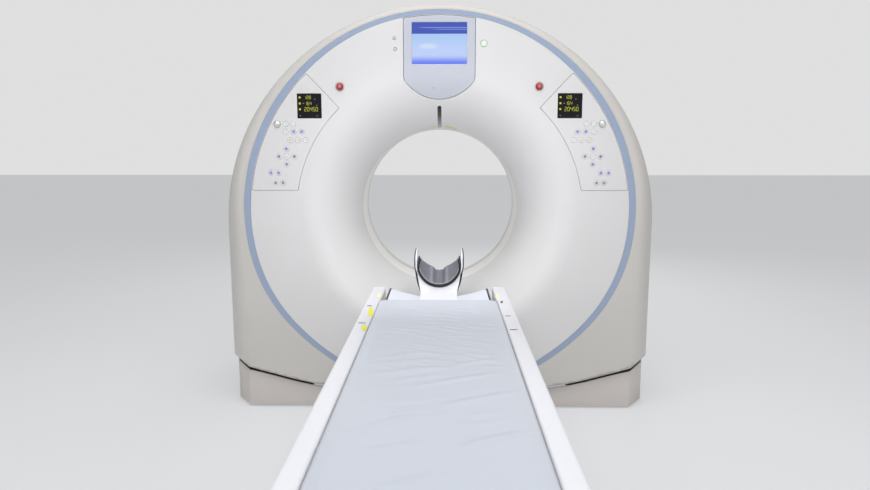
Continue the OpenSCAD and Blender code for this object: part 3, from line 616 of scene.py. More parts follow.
panelHoles = [squareLoop(number["x"], number["z"], number["half"], number["half"], number["corner"])]
panelHoles += [circle(x / 1000, z / 1000, keypad["r"] + controls["keyGap"], 32) for x, z in keypad["at"]]
panelHoles += [circle(dome["x"], dome["z"], dome["r"] + controls["keyGap"], 40)]
for name, turnOver in (("left", mirrored), ("right", np.asarray)):
    panel = skin(turnOver(panelLoop(gap)), [turnOver(h) for h in panelHoles], noSeeds, faceSurface, controls["lip"])
    addPiece(name + "Panel", panel, "gantry", "cover_white", name + "_operator_panel")
opening = squareLoop(screen["x"], screen["z"], screen["half"], screen["high"], screen["corner"])
housing = skin(housingLoop(gap), [opening], flareSeeds, faceSurface, controls["housingLip"])
addPiece("displayHousing", housing, "gantry", "housing_blue", "display_housing")
print("panels and display housing made")


def accentRing():
    sheet, lean = [], []
    for t, h in ring["profile"]:
        radius = gantry["faceR"] + ring["gap"] + (ring["outR"] - gantry["faceR"] - 0.0008) * t
        drop = ring["drop"] * t
        first = math.asin((seam["low"] + ring["gap"] + drop) / radius)
        a = np.linspace(first, math.pi - first, ring["steps"])
        raised = ring["raised"] + (ring["raisedOut"] - ring["raised"]) * t
        p = ringShape(np.stack([radius * np.cos(a), radius * np.sin(a) - drop], -1), raised)
        depth, n = flatFace(gantry["half"], cut=True)(p[:, 0], p[:, 1])
        side = {0: -1, 1: 1}.get(t)
        if side:
            n = np.stack([side * np.cos(a), np.full(len(a), 0.0 if h < -0.005 else 0.6), side * np.sin(a)], -1)
        sheet.append(toRow(p[:, 0], p[:, 1], depth + h))
        lean.append(n * np.array([1, -1, 1]))
    return gridSheet(np.array(sheet), unit(np.array(lean)), flip=True)


addPiece("accentRing", accentRing(), "gantry", "ring_blue", "accent_ring")

# outer shells: up the right side, over the arch and down the left side
shell = {
    "arch": 150, "side": 35, "rounding": 19, "joint": [(0.0022, 0), (0.0007, 0.0015), (0.0007, 0.02)],
    "lip": 0.0004, "wall": 0.012}
sideRows = shell["side"]
rightSide = np.tile([1.0, 0], (sideRows, 1))
outward = np.concatenate([rightSide, arc(1, 0, 180, shell["arch"]), -rightSide])
downSide = np.linspace(0, 1, sideRows + 1)[1:]
down = np.concatenate([downSide[::-1], np.zeros(shell["arch"]), downSide])


def shellRow(s):  # the shell's line where its rounding has turned by the sine s
    r = gantry["edgeR"] + (gantry["shellR"] - gantry["edgeR"]) * s
    drop = ring["drop"] + (gantry["shellDrop"] - ring["drop"]) * s
    spots = r * outward
    spots[:, 1] += (seamHeight(r) + drop) * down - drop
    return spots


def shellSheet(back):
    wide, long = gantry["shellR"] - gantry["edgeR"], gantry["rounding"]
    turns = [(math.sin(a), math.cos(a)) for a in np.radians(np.linspace(0, 90, shell["rounding"]))]
    rows = [(s, c, gantry["half"] - long * (1 - c), 0) for s, c in turns]
    rows += [(1, 0, depth, inset) for depth, inset in shell["joint"]]
    sheet, lean = [], []
    for s, c, depth, inset in rows:
        spots = shellRow(s) - inset * outward
        n = unit(np.column_stack([outward[:, 0] * long * s, np.full(len(down), wide * c), outward[:, 1] * long * s]))
        d, n = sweepCut(spots[:, 0], spots[:, 1], np.full(len(down), float(depth)), n)
        sheet.append(toRow(spots[:, 0], spots[:, 1], d, back))
        lean.append(n * np.array([1, 1 if back else -1, 1]))
    return gridSheet(np.array(sheet), np.array(lean), flip=not back)


def shellFace(back):
    drop = 0 if back else ring["drop"]
    radius = gantry["faceR"] + ring["gap"] if back else ring["outR"]
    z = seam["low"] + drop
    x = math.sqrt(radius ** 2 - z ** 2)
    xs = np.linspace(float(ringShape([x, seam["low"]])[0]), gantry["edgeR"], 44)[:-1]
    low = np.stack([xs, seamHeight(xs)], -1)
    first = math.degrees(math.atan2(z, x))
    inner = ringShape(arc(radius, 180 - first, first, 330, z=-drop), ring["raised" if back else "raisedOut"])
    loop = np.concatenate([low, shellRow(0), mirrored(low)[:-1], inner[:-1]])
    return skin(loop, [], lowSeeds, flatFace(gantry["half"], cut=True), shell["lip"], shell["wall"], back, 0.005)


for name, back in (("Front", False), ("Rear", True)):
    addPiece("outer" + name + "Shell", merged(shellSheet(back), shellFace(back)), "gantry", "shell_white",
             "outer_" + name.lower() + "_shell")
print("outer shells made")


def turned(profile, x, z, steps=40, face=gantry["half"]):  # its profile in mm, from outside to middle
    a = roundOf(steps)
    profile = np.array(profile, float) / 1000
    rows = [toRow(x + r * np.cos(a), z + r * np.sin(a), np.full(steps, face + h)) for r, h in profile]
    slope = unit(np.gradient(profile, axis=0))
    lean = [np.stack([-h * np.cos(a), np.full(steps, -r), -h * np.sin(a)], -1) for r, h in slope]
    return gridSheet(np.array(rows), np.array(lean), closed=True, flip=True)


def plate(loop, depth):
    loop, count = np.array(loop), len(loop)
    points = toRow(loop[:, 0], loop[:, 1], np.full(count, depth))
    return points, [tuple(range(count))], np.tile([0, -1.0, 0], (count, 1))


def icon(points, x, z, lift, size=0.9):
    return plate(np.array(points, float) * size / 1000 + np.array([x, z]), gantry["half"] + lift / 1000)


symbolField = moulded("symbolField", tone(214, 216, 222), 0.35)
symbolMark = moulded("symbolMark", tone(132, 134, 146), 0.45)
keyFinishes = [
    moulded("keyRim", tone(236, 236, 242), 0.4), moulded("keyPurple", tone(150, 146, 206), 0.45),
    moulded("keyDark", tone(150, 150, 160), 0.45), moulded("keyPale", tone(222, 222, 226), 0.42),
    moulded("keyWarm", tone(222, 212, 196), 0.42), moulded("keyMark", tone(84, 84, 98), 0.5)]
for name, side in (("left", -1), ("right", 1)):
    parts, indices = [], []
    for k, (x, z) in enumerate(keypad["at"]):
        x, z = side * x / 1000, z / 1000
        parts.append(turned(keypad["profile"], x, z, keypad["steps"]))
        tones = [0] * (len(keypad["profile"]) - 1 - keypad["capRows"])
        tones += [keypad["tones"][keypad["kinds"][k]]] * keypad["capRows"]
        indices += np.repeat(tones, keypad["steps"]).tolist()
        angle = math.radians(keypad["arrows"].get(k, 0)) * (side if k in (9, 11) else 1)
        mark = keypad["arrow" if k in keypad["arrows"] else "bar"]
        s, c = math.sin(angle), math.cos(angle)
        parts.append(icon([(px * c - pz * s, px * s + pz * c) for px, pz in mark], x, z, 1.1))
        indices.append(5)
    addPiece(name + "Keys", merged(*parts), "gantry", "key_grey", name + "_keypad", keyFinishes, indices)
print("keys made")

stopLabel = moulded("stopLabel", tone(196, 112, 118), 0.4)
shadowRing = moulded("collarShadow", tone(60, 48, 50), 0.6)


def twoTone(first, second):  # one shape, and which of two materials each of its faces has
    shape = merged(*first, *second)
    count = sum(len(part[1]) for part in first)
    return shape, [0] * count + [1] * (len(shape[1]) - count)


for name, side in (("left", -1), ("right", 1)):
    x, z = side * stops["x"], stops["z"]
    shape, indices = twoTone([turned(stops["cap"], x, z, 48)], [turned(stops["label"], x, z, 32)])
    addPiece(name + "StopButton", shape, name + "_estop", "stop_red", name + "_estop_button",
             [finishes["stop_red"], stopLabel], indices)
    addPiece(name + "DomeButton", turned(dome["cap"], side * dome["x"], dome["z"], 48), name + "_dome", "dome_silver",
             name + "_dome_button")
shape, indices = twoTone([turned(stops["collar"], s * stops["x"], stops["z"], 56) for s in (-1, 1)],
                         [turned(stops["well"], s * stops["x"], stops["z"], 32) for s in (-1, 1)])
addPiece("stopCollars", shape, "gantry", "collar_white", "estop_collars",
         [finishes["collar_white"], shadowRing], indices)

lampCap, lampPlate = [(1, 0.2), (0.93, 0.9), (0.6, 1.5), (0.3, 1.75), (0, 1.8)], [(1, 0), (0.8, 0.1), (0, 0.1)]
lampSigns = [([(-4, -1), (4, -1), (4, 0.6), (-4, 0.6)], -0.195, z) for z in (0.7655, 0.7620)]
lampSigns.append(([(-2.6, -3.6), (2.6, -3.6), (0, 3.6)], -0.193, 0.718))
parts, indices = [], []
for k, (x, z, r) in enumerate(lamps):
    edge, profile = r * 1000 - 0.4, lampPlate if k else lampCap
    parts.append(turned([(edge, -6)] + [(edge * part, h) for part, h in profile], x, z))
    indices += [min(k, 1)] * (40 * len(profile))
for mark, x, z in lampSigns:
    parts.append(icon(mark, x, z, 0.25))
    indices.append(2)
addPiece("indicatorLamps", merged(*parts), "gantry", "lamp_green", "indicator_lamps",
         [finishes["lamp_green"], symbolField, symbolMark], indices)
print("buttons and lamps made")

# number displays
litNumber = Finish("numberGlow", tone(20, 20, 10), 0.4).glow(tone(214, 214, 70), 0.9)
dimNumber = Finish("numberDim", tone(20, 20, 20), 0.4).glow(tone(150, 150, 150), 0.5)
segments = {"a": (0, 2), "b": (1, 1), "c": (1, -1), "d": (0, -2), "e": (-1, -1), "f": (-1, 1), "g": (0, 0)}
digits = {"0": "abcdef", "1": "bc", "2": "abged", "3": "abgcd", "4": "fgbc", "5": "afgcd", "6": "afgedc", "7": "abc",
          "8": "abcdefg", "9": "abcdfg", "-": "g"}


def glyph(text, x, z, high):
    boxes, part = [], high / 4
    for k, letter in enumerate(text):
        left = x + k * high * 0.72
        for sx, sz in (segments[s] for s in digits[letter]):
            wide, tall = (0.2, 0.82) if sx else (0.78, 0.2)
            boxes.append(box(left + sx * part * 0.95, z + sz * part * 0.95, part * wide, part * tall))
    return boxes


parts, indices = [], []
faceDepth = gantry["half"] - number["sunk"]
for side in (-1, 1):
    cx, cz, half = side * number["x"], number["z"], number["half"] - number["gap"]
    edge = squareLoop(cx, cz, half, half, number["corner"])
    glass = skin(edge, [], noSeeds, flatFace(faceDepth), number["lip"], number["wall"])
    lit = []
    for text, left, up, high in number["rows"]:
        lit += glyph(text, cx - left, cz + up, high) + [box(cx - 0.042, cz + up, 0.004, 0.004)]
    dim = glyph("000", cx + 0.03, cz - 0.043, 0.006)
    for right, up in ((-0.041, -0.042), (0.025, 0.029), (0.033, 0.003)):
        dim.append(box(cx + right, cz + up, 0.003, 0.002))
    parts += [glass] + [plate(corners, faceDepth + 0.0002) for corners in lit + dim]
    indices += [0] * len(glass[1]) + [1] * len(lit) + [2] * len(dim)
addPiece("numberDisplays", merged(*parts), "gantry", "screen", "number_displays",
         [finishes["screen"], litNumber, dimNumber], indices)

# display picture: plain fields only
picture = Finish("displayPicture", tone(10, 12, 20), 0.12)
x, _, z = picture.axes()
v = (z - (gantry["axisZ"] + screen["z"] - screen["high"])) / (2 * screen["high"])
u = (x + screen["half"]) / (2 * screen["half"])
streaks = v.band(0.865, 0.885, 0.006) * u.rise(0.05, 0.3) + v.band(0.825, 0.84, 0.006) * u.rise(0.25, 0.6)
titleBar = picture.mix(streaks * 0.75, tone(72, 90, 188), tone(150, 178, 236))
field = picture.mix(v.rise(0.0, 0.24), tone(104, 126, 250), tone(196, 214, 255))
field = picture.mix(v.rise(0.3, 0.72), field, tone(176, 208, 250))
away = (u - 0.3) * (u - 0.3) * 26 + (v - 0.43) * (v - 0.43) * 150
cloud = (1 - away.rise(0.1, 1.2)) * (0.5 + picture.clouds(40, 3))
field = picture.mix(cloud * 0.4, field, tone(236, 244, 255))
picture.glow(picture.mix(v.rise(0.722, 0.73), field, titleBar), 0.93)
wide, high = screen["half"] - screen["gap"], screen["high"] - screen["gap"]
edge = squareLoop(screen["x"], screen["z"], wide, high, screen["glassCorner"])
glass = skin(edge, [], noSeeds, flatFace(gantry["half"] - screen["sunk"]), screen["lip"], screen["wall"])
addPiece("displayScreen", glass, "gantry", "screen", "display_screen", picture.material)
print("displays made")

# bore lining and laser slot
lining = {"half": 0.08, "steps": 240, "edge": [(0.396, 0.0925), (0.3912, 0.0925), (0.3902, 0.0921), (0.39, 0.0912)]}
a = roundOf(lining["steps"])
rows = lining["edge"] + [(gantry["boreR"], d) for d in np.linspace(lining["half"], -lining["half"], 9)]
rows += [(r, -d) for r, d in lining["edge"][::-1]]
sheet = np.array([toRow(r * np.cos(a), r * np.sin(a), np.full(len(a), d)) for r, d in rows])
addPiece("boreLining", gridSheet(sheet, closed=True, flip=True), "gantry", "cover_white", "bore_window",
         moulded("boreLining", tone(243, 241, 236), 0.3))

slot = {"half": 0.0088, "top": 0.481, "low": 0.3925, "proud": 0.0006, "darkTo": 1.392, "paleFrom": 1.325}
high = slot["top"] - slot["half"]
zs = np.linspace(slot["low"], high, 26)[:-1]
window = np.concatenate([np.stack([np.full(25, slot["half"]), zs], -1), arc(slot["half"], 0, 180, 17, z=high),
                         np.stack([np.full(25, -slot["half"]), zs[::-1]], -1)])
slotSeeds = np.array([(x, z) for z in np.arange(0.396, 0.49, 0.004) for x in (-0.004, 0.004)])
points, faces, normals = skin(window, [], slotSeeds, faceSurface, 0.0008, 0.002, keep=0.002)
darkGlass = Finish("slotGlass")
height = darkGlass.axes()[2] + 0.004 * darkGlass.clouds(60)
dark = height.rise(slot["paleFrom"], slot["darkTo"])
darkGlass.set("Base Color", darkGlass.mix(dark, tone(128, 128, 130), tone(20, 20, 22)))
darkGlass.set("Roughness", 0.13 + 0.1 * darkGlass.clouds(25, 3))
addPiece("laserWindow", (points + normals * slot["proud"], faces, normals), "gantry", "laser_black", "laser_window",
         darkGlass.material)


def closedLoft(rings):  # rings of equal length, closed round, with both ends filled and all faces outwards
    rings = np.array(rings)
    count, size = rings.shape[:2]
    points = rings.reshape(-1, 3)
    faces = [(r * size + c, r * size + (c + 1) % size, (r + 1) * size + (c + 1) % size, (r + 1) * size + c)
             for r in range(count - 1) for c in range(size)]
    faces += [tuple(range(size))[::-1], tuple(range((count - 1) * size, count * size))]
    fans = [(points[f[0]], points[f[k]], points[f[k + 1]]) for f in faces for k in range(1, len(f) - 1)]
    if sum(np.dot(p, np.cross(q, r)) for p, q, r in fans) < 0:
        faces = [f[::-1] for f in faces]
    return points, faces


def station(loop, y):  # a closed loop of x and z, set at y
    return np.column_stack([loop[:, 0], np.full(len(loop), y), loop[:, 1]])


def slabRing(x, y, top, low):  # one closed section of a slab, from its upper and lower lines
    return station(np.concatenate([np.stack([x, top], -1), np.stack([x, low], -1)[-2:0:-1]]), y)


def roundedEnd(t):  # 1 at the very end of a piece, 0 from t = 1 on
    return 1 - math.sqrt(max(0.0, 1 - (1 - min(t, 1)) ** 2))


# couch: mattress and film
mattress = {
    "troughR": 0.525, "troughZ": 0.5843, "troughHalf": 0.21,
    "half": 0.201, "foot": -1.69, "head": 0.586, "top": 0.6285,
    "crown": 0.0012, "thin": 0.008, "stepFrom": 0.358, "stepOver": 0.022, "rounding": 0.006, "under": 0.0004}
film = {
    "half": 0.2272, "foot": -1.705, "head": 0.3725, "top": 0.6312, "edge": 0.6282, "edgeFrom": 0.196,
    "edgeOver": 0.031, "headFall": 0.0025, "footFall": 0.02, "step": 0.0065, "rows": 316, "thick": 0.0005, "seed": 23,
    "large": [  # start x and y, end x and y, width, height
        (-0.21, -0.89, -0.03, -0.73, 0.016, 0.0042), (0.0, -0.71, 0.225, -0.60, 0.014, 0.0042),
        (-0.1, -0.60, 0.2, -0.46, 0.013, 0.003), (0.03, -0.93, 0.22, -0.82, 0.016, 0.004),
        (-0.2, -1.15, 0.05, -1.0, 0.02, 0.004), (0.02, -0.42, 0.2, -0.36, 0.011, 0.0028),
        (-0.19, -0.5, 0.02, -0.42, 0.016, 0.0022), (-0.2, -1.45, 0.15, -1.3, 0.02, 0.004),
        (-0.05, -1.2, 0.2, -1.1, 0.018, 0.004)],
    "small": [  # count, then the ranges of x, y, length, turn, width and height, and the slant
        (74, (-0.21, 0.12), (-0.42, 0.345), (0.07, 0.2), (4, 30), (0.0045, 0.009), (0.0007, 0.0019), 1.1),
        (46, (-0.21, 0.1), (-1.65, -0.3), (0.08, 0.24), (-34, -12), (0.007, 0.013), (0.0006, 0.0016), 1)]}


def trough(x):
    radius = mattress["troughR"]
    return mattress["troughZ"] + radius - np.sqrt(radius ** 2 - np.minimum(np.abs(x), mattress["troughHalf"]) ** 2)


def mattressTop(x, y):  # it fills the trough, and is thin at its head
    thin = trough(x) + mattress["thin"]
    full = np.maximum(mattress["top"] + mattress["crown"] * (1 - (np.abs(x) / 0.2) ** 4), thin)
    return thin + (full - thin) * (1 - ease((y - mattress["stepFrom"]) / mattress["stepOver"]))


length = mattress["head"] - mattress["foot"]
stations = np.concatenate([
    [0.0, 0.0008, 0.0025, 0.006, 0.012], np.linspace(0.05, 2.0, 50), np.linspace(2.02, 2.09, 24),
    np.linspace(2.1, 2.26, 12), [2.27, 2.2735, 2.2752, 2.276]])
across = mattress["half"] * np.sin(np.linspace(-1, 1, 47) * math.pi / 2)
sideFall = np.sqrt(np.clip(1 - (np.abs(across) / (mattress["half"] + 0.0005)) ** 24, 0.02, 1))
rings = []
for s in stations / stations[-1] * length:
    y = mattress["foot"] + s
    top, low = mattressTop(across, y), trough(across) + mattress["under"]
    thick = np.maximum(top - low, 0.0012) * sideFall
    middle = low + thick / 2
    half = thick / 2 * (1 - roundedEnd(min(s, length - s) / mattress["rounding"]) * 0.96)
    rings.append(slabRing(across, y, middle + half, middle - half))
mattressPad = addPiece("mattressPad", closedLoft(rings), "table", "mattress_cover", "mattress")

folds = list(film["large"])
draw = np.random.default_rng(film["seed"])
for count, xRange, yRange, lengths, slants, widths, heights, fall in film["small"]:
    for k in range(count):
        x, y = draw.uniform(*xRange), draw.uniform(*yRange)
        size, turn = draw.uniform(*lengths), math.radians(draw.uniform(*slants))
        folds.append((x, y, x + size * math.cos(turn), y - size * math.sin(turn) * fall,
                      draw.uniform(*widths), draw.uniform(*heights)))


def creases(x, y):
    height = np.zeros_like(x)
    for x0, y0, x1, y1, width, high in folds:
        d = np.array([x1 - x0, y1 - y0])
        size = np.linalg.norm(d)
        d /= size
        s = ((x - x0) * d[0] + (y - y0) * d[1]) / size
        off = -(x - x0) * d[1] + (y - y0) * d[0] + 0.012 * (s - 0.5) ** 2
        body = np.exp(-(off / width) ** 2) - 0.45 * np.exp(-((off - 1.7 * width) / (1.5 * width)) ** 2)
        height += high * body * ease(s / 0.35) * ease((1 - s) / 0.35)
    return height


foot, head, filmTop = film["foot"], film["head"], film["top"]
columns = round(2 * film["half"] / film["step"])
xs = np.arange(-film["half"], film["half"] + 0.0001, 2 * film["half"] / columns)
ys = np.linspace(foot + 0.006, head - 0.006, film["rows"])
ys = np.concatenate([[foot - 0.002, foot + 0.001], ys, [head - 0.003, head - 0.001, head]])
gx, gy = np.meshgrid(xs, ys)
lift = creases(gx, gy)
edge = ease((np.abs(gx) - film["edgeFrom"]) / film["edgeOver"])
gz = filmTop + (lift - lift.min() * 0.3) * (1 - 0.75 * edge) * (1 - ease((gy - head + 0.02) / 0.02) * 0.7)
gz = np.maximum(gz, filmTop - 0.0012) - (filmTop - film["edge"]) * edge
gz -= film["headFall"] * ease((gy - head + 0.008) / 0.008) ** 2 + film["footFall"] * ease((foot + 0.012 - gy) / 0.014)
filmPiece = addPiece("mattressFilm", gridSheet(np.stack([gx, gy, gz], -1)), "table", "mattress_cover",
                     material=moulded("mattressFilm", tone(200, 205, 215), 0.3))
thickness = filmPiece.modifiers.new("thickness", "SOLIDIFY")
thickness.thickness, thickness.offset = film["thick"], -1
print("mattress and film made")

# headrest: a lined cup on a neck that comes out of a flat tongue
rest = {
    "low": 0.7478, "high": 0.954, "tip": 0.76, "padR": 0.0915, "padC": 0.7045, "rimR": 0.0985, "rimC": 0.698,
    "rimTip": 0.712, "whiteR": 0.1062, "shellR": 0.1112, "centre": 0.7015, "edge": 0.0012, "sag": 0.022,
    "tongueZ": 0.6033, "tongueY": 0.345, "floorZ": 0.5882}


def cupSection(inner, outer, tip, innerC, outerC):  # a U of even thickness, open at the top
    def half(radius, centre):  # down one leg, round the bottom and up the other
        legs = [(radius, t) for t in np.linspace(centre, tip - 0.004, 8)[1:]]
        return [(-x, z) for x, z in legs[::-1]] + [tuple(p) for p in arc(radius, 180, 360, 40, z=centre)] + legs
    ends = [(outer - 0.001, tip - 0.001), (inner + 0.001, tip - 0.001)]
    return np.array(half(outer, outerC) + ends + half(inner, innerC)[::-1] + [(-x, z) for x, z in ends[::-1]])


def cupLoft(name, inner, outer, tip, shift, slotName, sag=rest["sag"], centres=("centre", "centre"), **looks):
    low, high, edge = rest["low"] + shift[0], rest["high"] + shift[1], rest["edge"]
    rows = [(low, edge), (low + 0.3 * edge, 0.3 * edge), (low + edge, 0)]
    rows += [(low + part * (high - low), 0) for part in (0.25, 0.5, 0.75)]
    rows += [(high - edge, 0), (high - 0.3 * edge, 0.3 * edge), (high, edge)]
    rings = []
    for y, inset in rows:
        lean = tip - sag * (abs(y - (low + high) / 2) / ((high - low) / 2)) ** 6
        loop = cupSection(inner + inset, outer - inset, lean - inset, rest[centres[0]], rest[centres[1]])
        rings.append(station(loop, y))
    addPiece(name, closedLoft(rings), "table", slotName, **looks)


# black for the pad rim, and also painted shade on the holder's outer sides and underside
carbonAndShade = enamel("headrestCarbonAndShade", tone(34, 34, 36), 0.35)
cupLoft("headrestCup", rest["rimR"] + 0.0003, rest["whiteR"], rest["tip"], (0, 0), "couch_white",
        centres=("rimC", "centre"), node="headrest_holder")
# black outer layer: bare carbon, and also painted shade on the holder's outer sides
cupLoft("headrestOuterShell", rest["whiteR"] + 0.0002, rest["shellR"], rest["tip"] - 0.003, (0.001, 0.001),
        "carbon_black", material=carbonAndShade)
cupLoft("headrestRim", rest["padR"] + 0.0004, rest["rimR"], rest["rimTip"], (-0.0015, -0.001),
        "carbon_black", sag=0, centres=("padC", "rimC"), material=carbonAndShade)


throats = {  # half width, thickness, distance under the surface, start of the turn
    "headrestThroat": (0.0775, 0.006, 0, 0.59), "headrestNeck": (0.0765, 0.005, 0.0052, 0.6)}


def throat(name, radius, slotName, tongueFrom=None, material=None):  # turns a flat tongue into the cup
    wide, thick, under, start = throats[name]
    rows = [(tongueFrom, 0), (tongueFrom + 0.002, 0), (0.45, 0)] if tongueFrom else []
    parts = np.concatenate([np.linspace(0, 0.94, 17), [0.99, 1]])
    rows += [(start + (rest["low"] + 0.002 - start) * t, t) for t in parts]
    rings = []
    for y, t in rows:
        half = wide + (radius - 0.001 - wide) * ease(t * 1.02) ** 1.3
        x = half * np.sin(np.linspace(-1, 1, 41) * math.pi / 2)
        flat = rest["tongueZ"] + 0.4 * x * x / (2 * mattress["troughR"])
        cup = rest["rimC"] - np.sqrt(np.maximum(radius ** 2 - x * x, 0))
        top = flat + (cup - flat) * ease(t) - under
        thinned = thick * np.sqrt(np.clip(1 - np.abs(x / half) ** 14, 0.03, 1))
        depth = np.maximum(thinned * (0.25 if y in (rows[0][0], rows[-1][0]) else 1), 0.0003)
        low = np.maximum(top - depth, rest["floorZ"])
        rings.append(slabRing(x, y, np.maximum(top, low + 0.0003), low))
    addPiece(name, closedLoft(rings), "table", slotName, material=material)


throat("headrestThroat", rest["rimR"] + 0.0002, "couch_white", rest["tongueY"])
# black neck under the white throat: carbon underside, and also painted shade where the cup meets the tongue
throat("headrestNeck", rest["shellR"] - 0.004, "carbon_black", material=carbonAndShade)

headPad = {
    "from": 0.7515, "length": 0.196, "topZ": 0.699, "nearR": 0.0875, "farZ": 0.6485, "bite": 0.013, "biteHalf": 0.014,
    "groove": (0.004, 0.019, 0.0055, 0.15), "puff": (0.002, 0.036, 0.008, 0.2),  # height, place, width, fade
    "rounding": 0.03}


def ridge(x, t, high, place, width, fade):
    return high * np.exp(-((np.abs(x) - place) / width) ** 2) * ease(t / fade)


rings = []
for t in np.concatenate([[0, 0.004, 0.014, 0.03], np.linspace(0.06, 0.94, 24), [0.97, 0.986, 0.996, 1]]):
    outer = arc(rest["padR"], 180, 360, 61, z=rest["padC"])
    outer[:, 1] = np.minimum(outer[:, 1], headPad["topZ"])
    x = outer[:, 0] * 0.93
    near = rest["padC"] - np.sqrt(headPad["nearR"] ** 2 - x * x)
    far = headPad["farZ"] + 0.3 * np.abs(x) + 3 * x * x
    z = np.minimum(near + (far - near) * ease(t / 0.95) ** 0.8, headPad["topZ"] - 0.0005)
    if t > 0.9:
        bite = headPad["bite"] * math.sqrt(max(0, 1 - ((1 - t) / 0.1) ** 2))
        z -= bite * (1 - ease((np.abs(x) - headPad["biteHalf"]) / 0.008))
    z = np.maximum(z - ridge(x, t, *headPad["groove"]) + ridge(x, t, *headPad["puff"]), outer[:, 1] + 0.002)
    inner = np.stack([x, z], -1)
    pull = (outer - inner) / 2 * roundedEnd(min(t, 1 - t) / headPad["rounding"]) * 0.9
    loop = np.concatenate([outer - pull, (inner + pull)[::-1]])
    rings.append(station(loop, headPad["from"] + t * headPad["length"]))
headrestPad = addPiece("headrestPad", closedLoft(rings), "table", "head_pad", "headrest_pad")

piping = {"r": 0.0014, "inside": 0.0022, "y": 0.7512}
cords = []
for spin in np.linspace(0, 2 * math.pi, 9)[:-1]:
    radius = rest["padR"] - piping["inside"] + piping["r"] * math.cos(spin)
    cords.append(station(arc(radius, 192, 348, 60, z=rest["padC"]), piping["y"] + piping["r"] * math.sin(spin)))
addPiece("headrestPiping", closedLoft(np.array(cords).transpose(1, 0, 2)), "table", "head_pad",
         material=moulded("padPiping", tone(186, 186, 192), 0.5))
print("headrest made")

# plain marks on the rail covers and beside the opening
markPale = moulded("markPale", tone(233, 232, 178), 0.5)
markYellow = moulded("markYellow", tone(226, 226, 60), 0.5)
markDark = moulded("markDark", tone(96, 92, 108), 0.5)
marks = {
    "proud": 0.0004, "boreProud": 0.0005, "across": 7, "along": 9, "railZ": 0.628,
    "rail": [  # x, y, half width, half length, turn, tone
        (-0.240, 0.447, 0.0085, 0.03, -7, 0), (0.2375, 0.453, 0.008, 0.032, 7, 0),
        (-0.2445, 0.185, 0.0085, 0.06, -6, 1), (-0.2415, -0.03, 0.008, 0.032, -6, 1),
        (-0.259, 0.274, 0.009, 0.006, 4, 2), (-0.2565, 0.028, 0.013, 0.0045, 8, 2),
        (0.2465, 0.345, 0.0045, 0.02, 8, 2), (0.2500, 0.13, 0.011, 0.004, -6, 2),
        (0.2515, -0.047, 0.013, 0.0045, -4, 2)],
    "bore": [(-0.039, -0.032, 0.3945, 0.3985), (0.026, 0.08, 0.3935, 0.3975)],  # x from and to, radius from and to
    "dot": (-0.0254, 0.554)}
rails = {}
for side in ("left", "right"):
    data = cadNodes[side + "_rail_cover"].data
    rails[side] = BVHTree.FromPolygons([v.co for v in data.vertices], [p.vertices for p in data.polygons])
parts, indices = [], []
for x, y, w, h, turn, kind in marks["rail"]:
    s, c = math.sin(math.radians(turn)), math.cos(math.radians(turn))
    grid = []
    for v in np.linspace(-1, 1, marks["along"]):
        for u in np.linspace(-1, 1, marks["across"]):
            corner = (u ** 4 + v ** 4) ** 0.25
            bulge = max(abs(u), abs(v)) / corner if corner else 1
            px, py = x + (u * w * c + v * h * s) * bulge, y + (v * h * c - u * w * s) * bulge
            hit = rails["left" if x < 0 else "right"].ray_cast(Vector((px, py, 1)), Vector((0, 0, -1)))[0]
            grid.append((px, py, (hit.z if hit else marks["railZ"]) + marks["proud"]))
    grid = np.array(grid).reshape(marks["along"], marks["across"], 3)
    parts.append(gridSheet(grid, grid))
    indices += [kind] * len(parts[-1][1])
addPiece("railMarks", merged(*parts)[:2], "couch", "couch_white",
         material=[markPale, markYellow, markDark], indices=indices)
print("rail marks made")

parts = []
for x0, x1, r0, r1 in marks["bore"]:
    x = np.linspace(x0, x1, 14)
    rows = []
    for z in (np.sqrt(r * r - x * x) for r in (r0, r1)):
        depth, normal = faceSurface(x, z)
        rows.append(toRow(x, z, depth) + normal * np.array([1, -1, 1]) * marks["boreProud"])
    parts.append(gridSheet(np.array(rows), np.array(rows), flip=True))
addPiece("boreMarks", merged(*parts)[:2], "gantry", "cover_white", material=markYellow)
x, z = marks["dot"]
depth, _ = faceSurface(np.array([x]), np.array([z]))
dot = turned([(2.4, -1), (2.2, 0.5), (1.2, 1.0), (0, 1.1)], x, z, 20, float(depth[0]))
addPiece("housingDot", dot, "gantry", "key_grey", material=symbolMark)

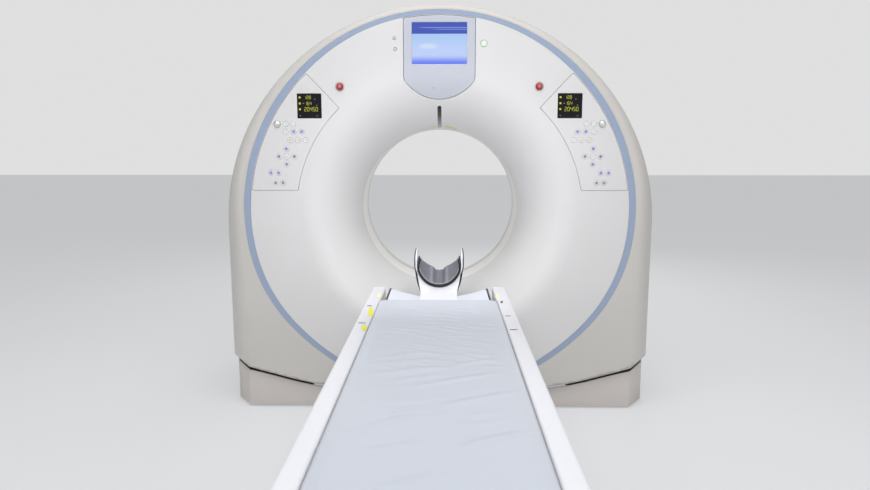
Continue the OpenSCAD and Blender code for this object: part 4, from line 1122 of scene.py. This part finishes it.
# floor, lamps and world
studio = {
    "skyTop": 0.47, "skyLow": 0.44, "skyFrom": -0.4, "skyTo": 0.9, "backdrop": 0.93,
    "floorHalf": 30, "floorZ": -0.0005, "floorGlow": 0.95, "glowShare": 0.5,
    "lamps": [  # name, place, size, power, aim, seen in gloss
        ("ceilingLight", (0, -1.0, 3.4), (3, 3), 76, (0, 0.3, 0.5), True),
        ("sideLight", (-2.9, -1.4, 1.5), (1.8, 1.8), 12, (0.4, 0.9, 0.9), True),
        ("sideLight", (2.9, -1.4, 1.5), (1.8, 1.8), 12, (-0.4, 0.9, 0.9), True),
        ("rearLight", (0.6, 4.6, 2.9), (2.6, 2.0), 56, (0, 1.6, 0.9), False),
        ("boreLight", (0, 0.3, 1.15), (0.7, 0.5), 2.1, (0, 1.2, 0.66), False)]}
scene.world = bpy.data.worlds.new("studio")
scene.world.use_nodes = True
scene.world.node_tree.nodes.clear()
sky = NodeTree(scene.world.node_tree)
height = sky.add("SeparateXYZ", {}, {0: sky.add("TexCoord").outputs["Generated"]}).outputs[2]
level = sky.add("MapRange", {}, {
    0: height, 1: studio["skyFrom"], 2: studio["skyTo"], 3: studio["skyLow"], 4: studio["skyTop"]})
lighting = sky.add("Background", {}, {"Strength": level.outputs[0]})
backdrop = sky.add("Background", {}, {"Strength": studio["backdrop"]})
both = sky.add("MixShader", {}, {
    0: sky.add("LightPath").outputs["Is Camera Ray"], 1: lighting.outputs[0], 2: backdrop.outputs[0]})
sky.add("OutputWorld", {}, {0: both.outputs[0]})

for name, place, size, power, aim, seen in studio["lamps"]:
    lamp = addObject(name, bpy.data.lights.new(name, "AREA"))
    lamp.data.shape, lamp.data.energy = "RECTANGLE", power
    lamp.data.size, lamp.data.size_y = size
    lamp.location = place
    lamp.rotation_euler = (Vector(place) - Vector(aim)).to_track_quat("Z", "Y").to_euler()
    lamp.visible_camera, lamp.visible_glossy = False, seen

floorFinish = Finish("studioFloor", tone(226, 227, 229), 0.6)
glow = floorFinish.add("Emission", {}, {"Color": tone(236, 237, 239), "Strength": studio["floorGlow"]})
rays = floorFinish.add("LightPath").outputs
rays = [Signal(floorFinish, rays[kind]) for kind in ("Is Camera Ray", "Is Glossy Ray", "Is Transmission Ray")]
share = rays[0].top(rays[1]).top(rays[2]) * studio["glowShare"]
both = floorFinish.add("MixShader", {}, {0: share, 1: floorFinish.shader.outputs[0], 2: glow.outputs[0]})
floorFinish.plug(floorFinish.tree.nodes["Material Output"].inputs[0], both.outputs[0])
mesh = bpy.data.meshes.new("floor")
corners = box(0, 0, studio["floorHalf"], studio["floorHalf"])
mesh.from_pydata([(x, y, studio["floorZ"]) for x, y in corners], [], [(0, 1, 2, 3)])
mesh.materials.append(floorFinish.material)
floor = addObject("floor", mesh)
print("stage set")
